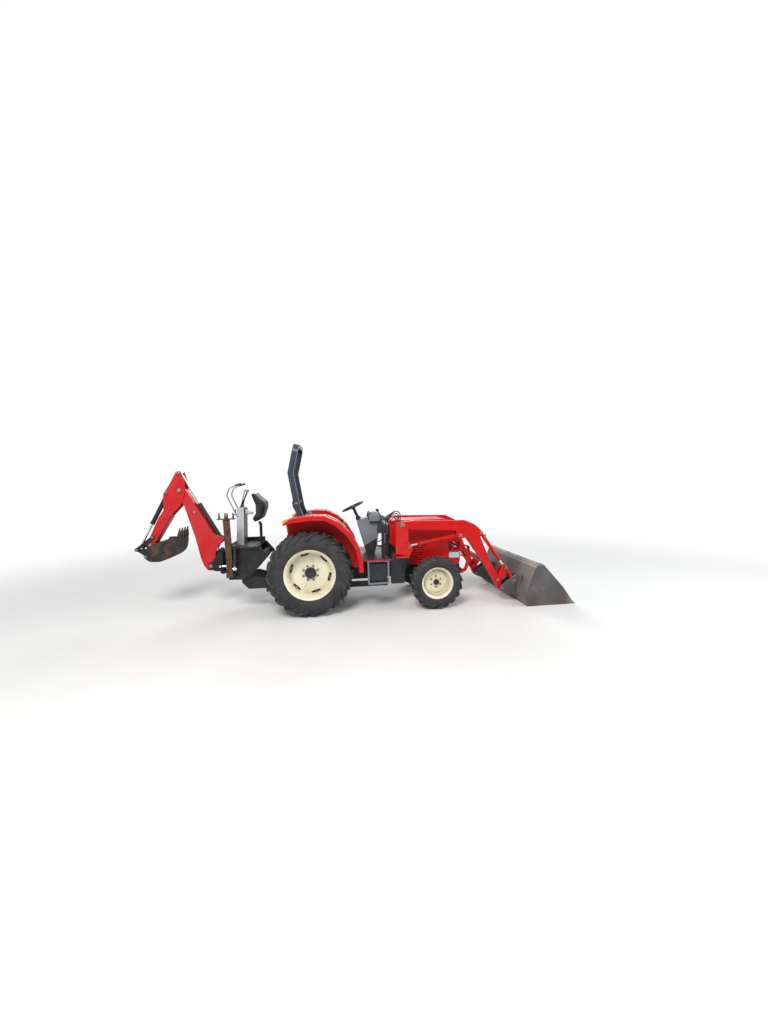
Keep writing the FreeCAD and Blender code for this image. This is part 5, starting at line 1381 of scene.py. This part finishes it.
def floor_fittings():
    bm = bmesh.new()
    for hand in (-1, 1):
        low, high = sorted((hand * 0.200, hand * 0.400))
        for k in range(MAT_RIBS):
            ahead = 0.800 + 0.0225 * k
            block(bm, spot(ahead, low, FLOOR_TOP), spot(ahead + 0.010, high, FLOOR_TOP + 0.006), 0.002)
    piece("floor_mat_ribs", bm, HOSE, "tractor")
    bm = bmesh.new()
    for y, wide in PEDALS:
        pad = [spot(0.985, y - wide / 2, 0.935), spot(0.985, y + wide / 2, 0.935),
               spot(1.040, y + wide / 2, 0.985), spot(1.040, y - wide / 2, 0.985)]
        slab(bm, pad, Vector((0.006, 0, -0.007)), 0.002)
        rib = LEFT * (wide * 0.42)
        for k in range(4):
            middle = spot(0.990 + 0.013 * k, y, 0.9415 + 0.0118 * k)
            tube(bm, [middle - rib, middle + rib], 0.0028, 6)
        tube(bm, [spot(x, y, z) for x, z in PEDAL_ARM], 0.009, 10)
    piece("pedals", bm, PLASTIC, "tractor")
    bm = bmesh.new()
    for hand in (-1, 1):
        low, high = sorted((hand * (FLOOR_SIDE - 0.022), hand * (FLOOR_SIDE + 0.003)))
        block(bm, spot(0.790, low, 0.763), spot(1.214, high, 0.7815), 0.002)
        for k in range(STEP_TEETH):
            place = spot(0.868 + 0.021 * k, hand * (FLOOR_SIDE - 0.060), 0.4172)
            turned(bm, [(0.0055, -0.001), (0.0042, 0.004), (0.003, 0.0042), (0.003, 0.001), (0, 0.001)],
                   place, UP, 10)
    piece("floor_edge_strips", bm, RED, "tractor")


floor_fittings()

# %% [markdown]
# The loader's bucket and the digging bucket work in the ground, so their edges are separate
# pieces of harder steel, which wear bright. The loader's edge is a flat bar with a bevel, held
# on the floor's lip by plough bolts, whose low round heads let the soil slide over them. The
# digging bucket's teeth are caps pushed on shanks and held by a pin.

# %% Cutting edge, plough bolts and tooth caps
LIP_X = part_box("loader_bucket")[1].x
BUCKET_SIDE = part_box("loader_bucket")[1].y
EDGE_BAR = [(0.002, 0.0012), (0.030, 0.0135), (0.150, 0.0145), (0.150, 0.0012)]
PLOUGH_BOLTS = 9
TEETH, TOOTH_INSET = 4, 0.022
TOOTH = [(-1.958, 1.304), (-1.990, 1.204), (-1.984, 1.160), (-1.948, 1.160), (-1.946, 1.230)]


def bucket_edges():
    bm = bmesh.new()
    edge = [Vector((LIP_X - back, 0, z)) for back, z in EDGE_BAR]
    plate(bm, edge, BUCKET_SIDE - 0.016, 0.0008)
    for k in range(PLOUGH_BOLTS):
        seat = Vector((LIP_X - 0.100, -0.72 + 0.18 * k, 0.0140))
        turned(bm, [(0.016, 0), (0.016, 0.002), (0.013, 0.004), (0, 0.004)], seat, UP, 18)
    piece("loader_bucket_edge", bm, STEEL, "loader_bucket")
    bm = bmesh.new()
    low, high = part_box("hoe_bucket")
    for k in range(TEETH):
        y = low.y + TOOTH_INSET + k * (high.y - low.y - 2 * TOOTH_INSET) / (TEETH - 1)
        plate(bm, [spot(x, 0, z) for x, z in TOOTH], 0.019, 0.003, y)
        turned(bm, [(0.007, 0), (0.007, 0.042), (0, 0.042)], spot(-1.966, y - 0.021, 1.190), LEFT, 14)
    piece("digging_tooth_caps", bm, DARK_STEEL, "hoe_bucket")


bucket_edges()

# %% [markdown]
# A cylinder is a honed tube, and oil goes in and out through a port welded on near each end.
# The ports of the loader's four cylinders show from above. One table gives the two pins that a
# cylinder lies between and how far along each port stands, and a line lands it on the tube.

# %% Ports of the loader's cylinders
CYLINDER_SIDE = 0.520
CYLINDERS = [
    # the barrels' body, their first pin, the far pin, how far from the first pin each port is
    ("lift_barrels", (2.325, 1.100), (1.524, 0.962), (0.085, 0.635)),
    ("tilt_barrels", (2.668, 1.132), (3.068, 0.552), (0.085, 0.505)),
]
PORT = [(0.013, -0.002), (0.013, 0.010), (0.010, 0.012), (0.010, 0.018), (0, 0.018)]


def ports():
    fittings = Fittings("ports", BLACK, "black_paint")
    for body, first, second, reaches in CYLINDERS:
        for hand in (-1, 1):
            foot = spot(first[0], CYLINDER_SIDE * hand, first[1])
            along = (spot(second[0], CYLINDER_SIDE * hand, second[1]) - foot).normalized()
            over = LEFT.cross(along)
            if over.z < 0:
                over = -over
            for reach in reaches:
                node, place, normal = landing(foot + along * reach + over * 0.16, -over)
                if BODY_OF[node] == body:
                    turned(fittings.on(body), PORT, place, over, 18)
    fittings.done()


ports()

# %% [markdown]
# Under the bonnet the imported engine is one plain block, since its inside never shows. What
# does show when the bonnet is up is put on it: the ribbed rocker cover with its filler cap,
# the intake and exhaust pipes, the air cleaner, and the belt with its pulleys and the fan.

# %% Engine fittings
def arc_points(centre, radius, first, last, count, flat=AHEAD):
    """Points on an arc, in degrees from a level axis, in the plane of that axis and the vertical."""
    turns = [math.radians(first + (last - first) * k / (count - 1)) for k in range(count)]
    return [centre + flat * (math.cos(turn) * radius) + UP * (math.sin(turn) * radius) for turn in turns]


FAN_BLADES = 6
# how far out, how far round and how far ahead each corner of a blade is
BLADE = [(0.042, -0.016, 0.0), (0.150, -0.030, 0.004), (0.152, 0.030, 0.026), (0.042, 0.018, 0.018)]


def engine_fittings():
    low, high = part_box("engine_block")
    top = high.z
    middle = (low.x + high.x) / 2
    bm = bmesh.new()
    block(bm, Vector((low.x + 0.10, -0.075, top - 0.001)), Vector((high.x - 0.10, 0.075, top + 0.062)), 0.012)
    for k in range(6):
        x = low.x + 0.15 + k * (high.x - low.x - 0.30) / 5
        block(bm, Vector((x - 0.005, -0.078, top)), Vector((x + 0.005, 0.078, top + 0.068)), 0.002)
    filler = Vector((middle + 0.10, 0, top + 0.060))
    turned(bm, [(0.024, 0), (0.024, 0.018), (0.020, 0.022), (0, 0.022)], filler, UP, 24)
    piece("rocker_cover", bm, GREY, "tractor")
    bm = bmesh.new()
    for k in range(4):
        x = low.x + 0.17 + k * (high.x - low.x - 0.34) / 3
        tube(bm, arc_points(Vector((x, -0.110, top - 0.060)), 0.055, 80, 200, 8, LEFT), 0.017, 12)
        tube(bm, arc_points(Vector((x, 0.110, top - 0.060)), 0.055, 100, -20, 8, LEFT), 0.015, 12)
    for side, radius in ((-1, 0.024), (1, 0.022)):
        ends = [Vector((x, side * 0.168, top - 0.075)) for x in (low.x + 0.12, high.x - 0.12)]
        tube(bm, ends, radius, 16)
    piece("manifolds", bm, RUSTED, "tractor")
    bm = bmesh.new()
    front = high.x
    # across, height, radius, the belt's radius there and the degrees that it wraps between
    pulleys = [(0.0, low.z + 0.20, 0.075, 0.070, -150, 0), (0.0, top - 0.09, 0.055, 0.050, 0, 110),
               (-0.150, top - 0.16, 0.036, 0.032, 110, 205)]
    belt_path = []
    for y, z, radius, wrap, start, stop in pulleys:
        turned(bm, [(0, -0.002), (radius, -0.002), (radius, 0.006), (radius * 0.84, 0.012),
                    (radius, 0.018), (radius, 0.026), (radius * 0.4, 0.026), (radius * 0.36, 0.034),
                    (0, 0.034)], Vector((front, y, z)), AHEAD, 32)
        belt_path += arc_points(Vector((front + 0.012, y, z)), wrap, start, stop, 10, LEFT)
    piece("pulleys", bm, GREY, "tractor")
    bm = bmesh.new()
    tube(bm, belt_path + belt_path[:1], 0.0055, 6)
    hub = Vector((front + 0.040, 0, top - 0.09))
    turned(bm, [(0, 0), (0.045, 0), (0.045, 0.022), (0.030, 0.030), (0, 0.030)], hub, AHEAD, 28)
    for k in range(FAN_BLADES):
        turn = 2 * math.pi * k / FAN_BLADES
        along = Vector((0, math.cos(turn), math.sin(turn)))
        beside = Vector((0, -math.sin(turn), math.cos(turn)))
        blade = [hub + along * reach + beside * aside + AHEAD * lift for reach, aside, lift in BLADE]
        slab(bm, blade, AHEAD * 0.003)
    piece("belt_and_fan", bm, PLASTIC, "tractor")
    bm = bmesh.new()
    cleaner = Vector((low.x + 0.06, 0.205, top - 0.020))
    turned(bm, [(0, 0), (0.060, 0), (0.066, 0.008), (0.066, 0.030), (0.062, 0.034), (0.062, 0.230),
                (0.066, 0.234), (0.066, 0.250), (0.055, 0.262), (0, 0.264)], cleaner, AHEAD, 36)
    for along in (0.10, 0.17):
        strap = [(0.062, along), (0.064, along), (0.064, along + 0.012), (0.062, along + 0.012)]
        turned(bm, strap, cleaner, AHEAD, 36)
    piece("air_cleaner", bm, PLASTIC, "tractor")


engine_fittings()

# %% [markdown]
# A headlamp is held by its frame, so each gets a black surround with round corners, made as a
# tube that follows the lens. The tail lamps' lenses are each held by two screws.

# %% Lamp surrounds and screws
LAMP_ROUND = 0.030
LAMP_CORNERS = [(2.365, 0.767), (2.239, 0.767), (2.239, 0.723), (2.365, 0.723)]


def lamp_surrounds():
    bm = bmesh.new()
    for hand in (-1, 1):
        path = []
        for k, (x, z) in enumerate(LAMP_CORNERS):
            path += arc_points(spot(x, hand * 0.3085, z), LAMP_ROUND, 90 * k, 90 * k + 90, 6)
        tube(bm, path + path[:1], 0.0038, 8)
    piece("headlamp_surrounds", bm, PLASTIC, "hood")
    bm = bmesh.new()
    for hand in (-1, 1):
        for y in (0.585, 0.675):
            node, place, normal = landing(spot(-0.60, hand * y, 1.405), AHEAD)
            turned(bm, [(0.006, 0), (0.006, 0.002), (0.004, 0.0035), (0, 0.0035)], place, normal, 14)
    piece("tail_lamp_screws", bm, ZINC, "tractor")


lamp_surrounds()

# %% [markdown]
# Fillets of weld show wherever plate meets tube. A weld is a row of overlapping small waves
# rather than a smooth line, so the bead is a tube whose radius changes a little at every step
# along the seam.

# %% Weld beads on the arms
def weld(bm, first, last, radius=0.0045, pitch=0.006):
    """A bead with scale marks from one point to another."""
    length = (last - first).length
    steps = max(int(length / pitch), 2)
    axis = (last - first).normalized()
    profile = [(0, 0)]
    for k in range(steps):
        profile.append((radius * 0.80, pitch * k + pitch * 0.1))
        profile.append((radius, pitch * k + pitch * 0.6))
    profile.append((0, pitch * steps))
    turned(bm, profile, first, axis, 8)


SEAMS = [((2.255, 1.150), (2.395, 1.330)), ((2.330, 1.065), (2.530, 1.230))]


def arm_welds():
    bm = bmesh.new()
    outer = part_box("loader_boom")[1].y
    for hand in (-1, 1):
        for seam in SEAMS:
            ends = []
            for ahead, height in seam:
                start = spot(ahead, hand * (outer + 0.10), height)
                ends.append(landing(start, LEFT * -hand)[1])
            if abs(ends[0].y - ends[1].y) < 0.004:
                weld(bm, ends[0], ends[1], 0.004)
    piece("loader_arm_welds", bm, RED, "loader_arms")


arm_welds()

# %% [markdown]
# The photograph was taken with a short lens from head height, a little ahead of the rear
# axle, turned slightly toward the loader and tipped down. The camera's place and angles were
# fitted to the wheels' centres and to the ends of the machine.

# %% Camera
FOCAL = 364.605
FRAME_HEIGHT = 1024
EYE = spot(0.3775, -6.0178, 1.915)
PITCH = math.radians(4.315)
YAW = math.radians(7.736)
ROLL = math.radians(-1.009)
ahead = Vector((math.sin(YAW) * math.cos(PITCH), math.cos(YAW) * math.cos(PITCH), -math.sin(PITCH)))
right = Vector((math.cos(YAW), -math.sin(YAW), 0))
up = right.cross(ahead)
turned_right = right * math.cos(ROLL) + up * math.sin(ROLL)
turned_up = up * math.cos(ROLL) - right * math.sin(ROLL)
lens = bpy.data.cameras.new("camera")
lens.sensor_fit = "VERTICAL"
lens.sensor_width = 36.0
lens.sensor_height = 36.0
lens.lens = FOCAL * lens.sensor_height / FRAME_HEIGHT
lens.clip_end = 400.0
camera = bpy.data.objects.new("camera", lens)
bpy.context.scene.collection.objects.link(camera)
axes = Matrix((turned_right, turned_up, -ahead)).transposed().to_4x4()
camera.matrix_world = Matrix.Translation(EYE) @ axes
bpy.context.scene.camera = camera
print("lens: %.2f mm" % lens.lens)

# %% [markdown]
# The floor is a pale disc that fades to the white of the background, so no horizon line
# crosses the picture. The fade goes by distance from the middle of the machine, and only the
# camera, reflections and glass see the white, so it adds no light to the object.

# %% Floor and background
WHITE_NEAR, WHITE_FAR = 3.8, 10.5


def seen(nodes):
    """1 for rays from the camera, a reflection or glass, summed in that tree."""
    camera_ray = nodes.node("ShaderNodeLightPath", {}, {}, "Is Camera Ray")
    rays = camera_ray.socket.node.outputs
    two = camera_ray + Value(nodes, rays["Is Glossy Ray"])
    all_three = {0: two, 1: Value(nodes, rays["Is Transmission Ray"])}
    return nodes.node("ShaderNodeMath", {"operation": "ADD", "use_clamp": True}, all_three)


floor = Finish("pale floor")
pebble = floor.noise(2.0, 6.0)
floor.surface(floor.mix(pebble, colour(0.76, 0.76, 0.75), colour(0.81, 0.81, 0.80)), 0.9)
distance = floor.node("ShaderNodeVectorMath", {"operation": "LENGTH"}, {0: floor.place}, "Value")
fade = floor.step(distance, WHITE_NEAR, WHITE_FAR)
white = floor.node("ShaderNodeEmission", {}, {"Color": colour(1, 1, 1), "Strength": seen(floor)})
ends = {0: fade, 1: Value(floor, floor.shader.outputs[0]), 2: white}
blend = floor.node("ShaderNodeMixShader", {}, ends)
floor.feed(floor.first("OUTPUT_MATERIAL").inputs["Surface"], blend)
bm = bmesh.new()
bmesh.ops.create_circle(bm, cap_ends=True, segments=96, radius=120.0)
ground = placed("floor", bm)
ground.data.materials.append(floor.material)
world = bpy.data.worlds.new("studio")
bpy.context.scene.world = world
world.use_nodes = True
sky = Nodes(world.node_tree)
shade = sky.first("BACKGROUND")
sky.feed(shade.inputs["Color"], colour(0.93, 0.96, 1.0))
sky.feed(shade.inputs["Strength"], 0.42)
plain = sky.node("ShaderNodeBackground", {}, {"Color": colour(1, 1, 1), "Strength": 1.0})
ends = {0: seen(sky), 1: Value(sky, shade.outputs[0]), 2: plain}
join = sky.node("ShaderNodeMixShader", {}, ends)
sky.feed(sky.first("OUTPUT_WORLD").inputs["Surface"], join)
print("floor and world ready")

# %% [markdown]
# Three large soft lamps give shape: a key high on the camera's side, a weaker fill from the
# digging arm's end, and one behind to part the machine from the background. Together with
# the even world they light a surface to about the colour it is written in.

# %% Lamps
def lamp(name, place, size, power, tint=(1, 1, 1)):
    data = bpy.data.lights.new(name, "AREA")
    data.shape = "DISK"
    data.size = size
    data.energy = power
    data.color = tint
    made = bpy.data.objects.new(name, data)
    bpy.context.scene.collection.objects.link(made)
    made.location = place
    made.rotation_euler = (Vector((0, 0, 0.8)) - made.location).to_track_quat("-Z", "Y").to_euler()


lamp("key", Vector((-2.5, -7.0, 7.5)), 4.0, 760, (1.0, 0.98, 0.95))
lamp("fill", Vector((8.0, -3.0, 4.0)), 5.0, 260, (0.95, 0.97, 1.0))
lamp("back", Vector((1.0, 8.0, 6.5)), 5.0, 400)
bpy.context.scene.view_settings.view_transform = "Standard"
print("lamps: key, fill, back")
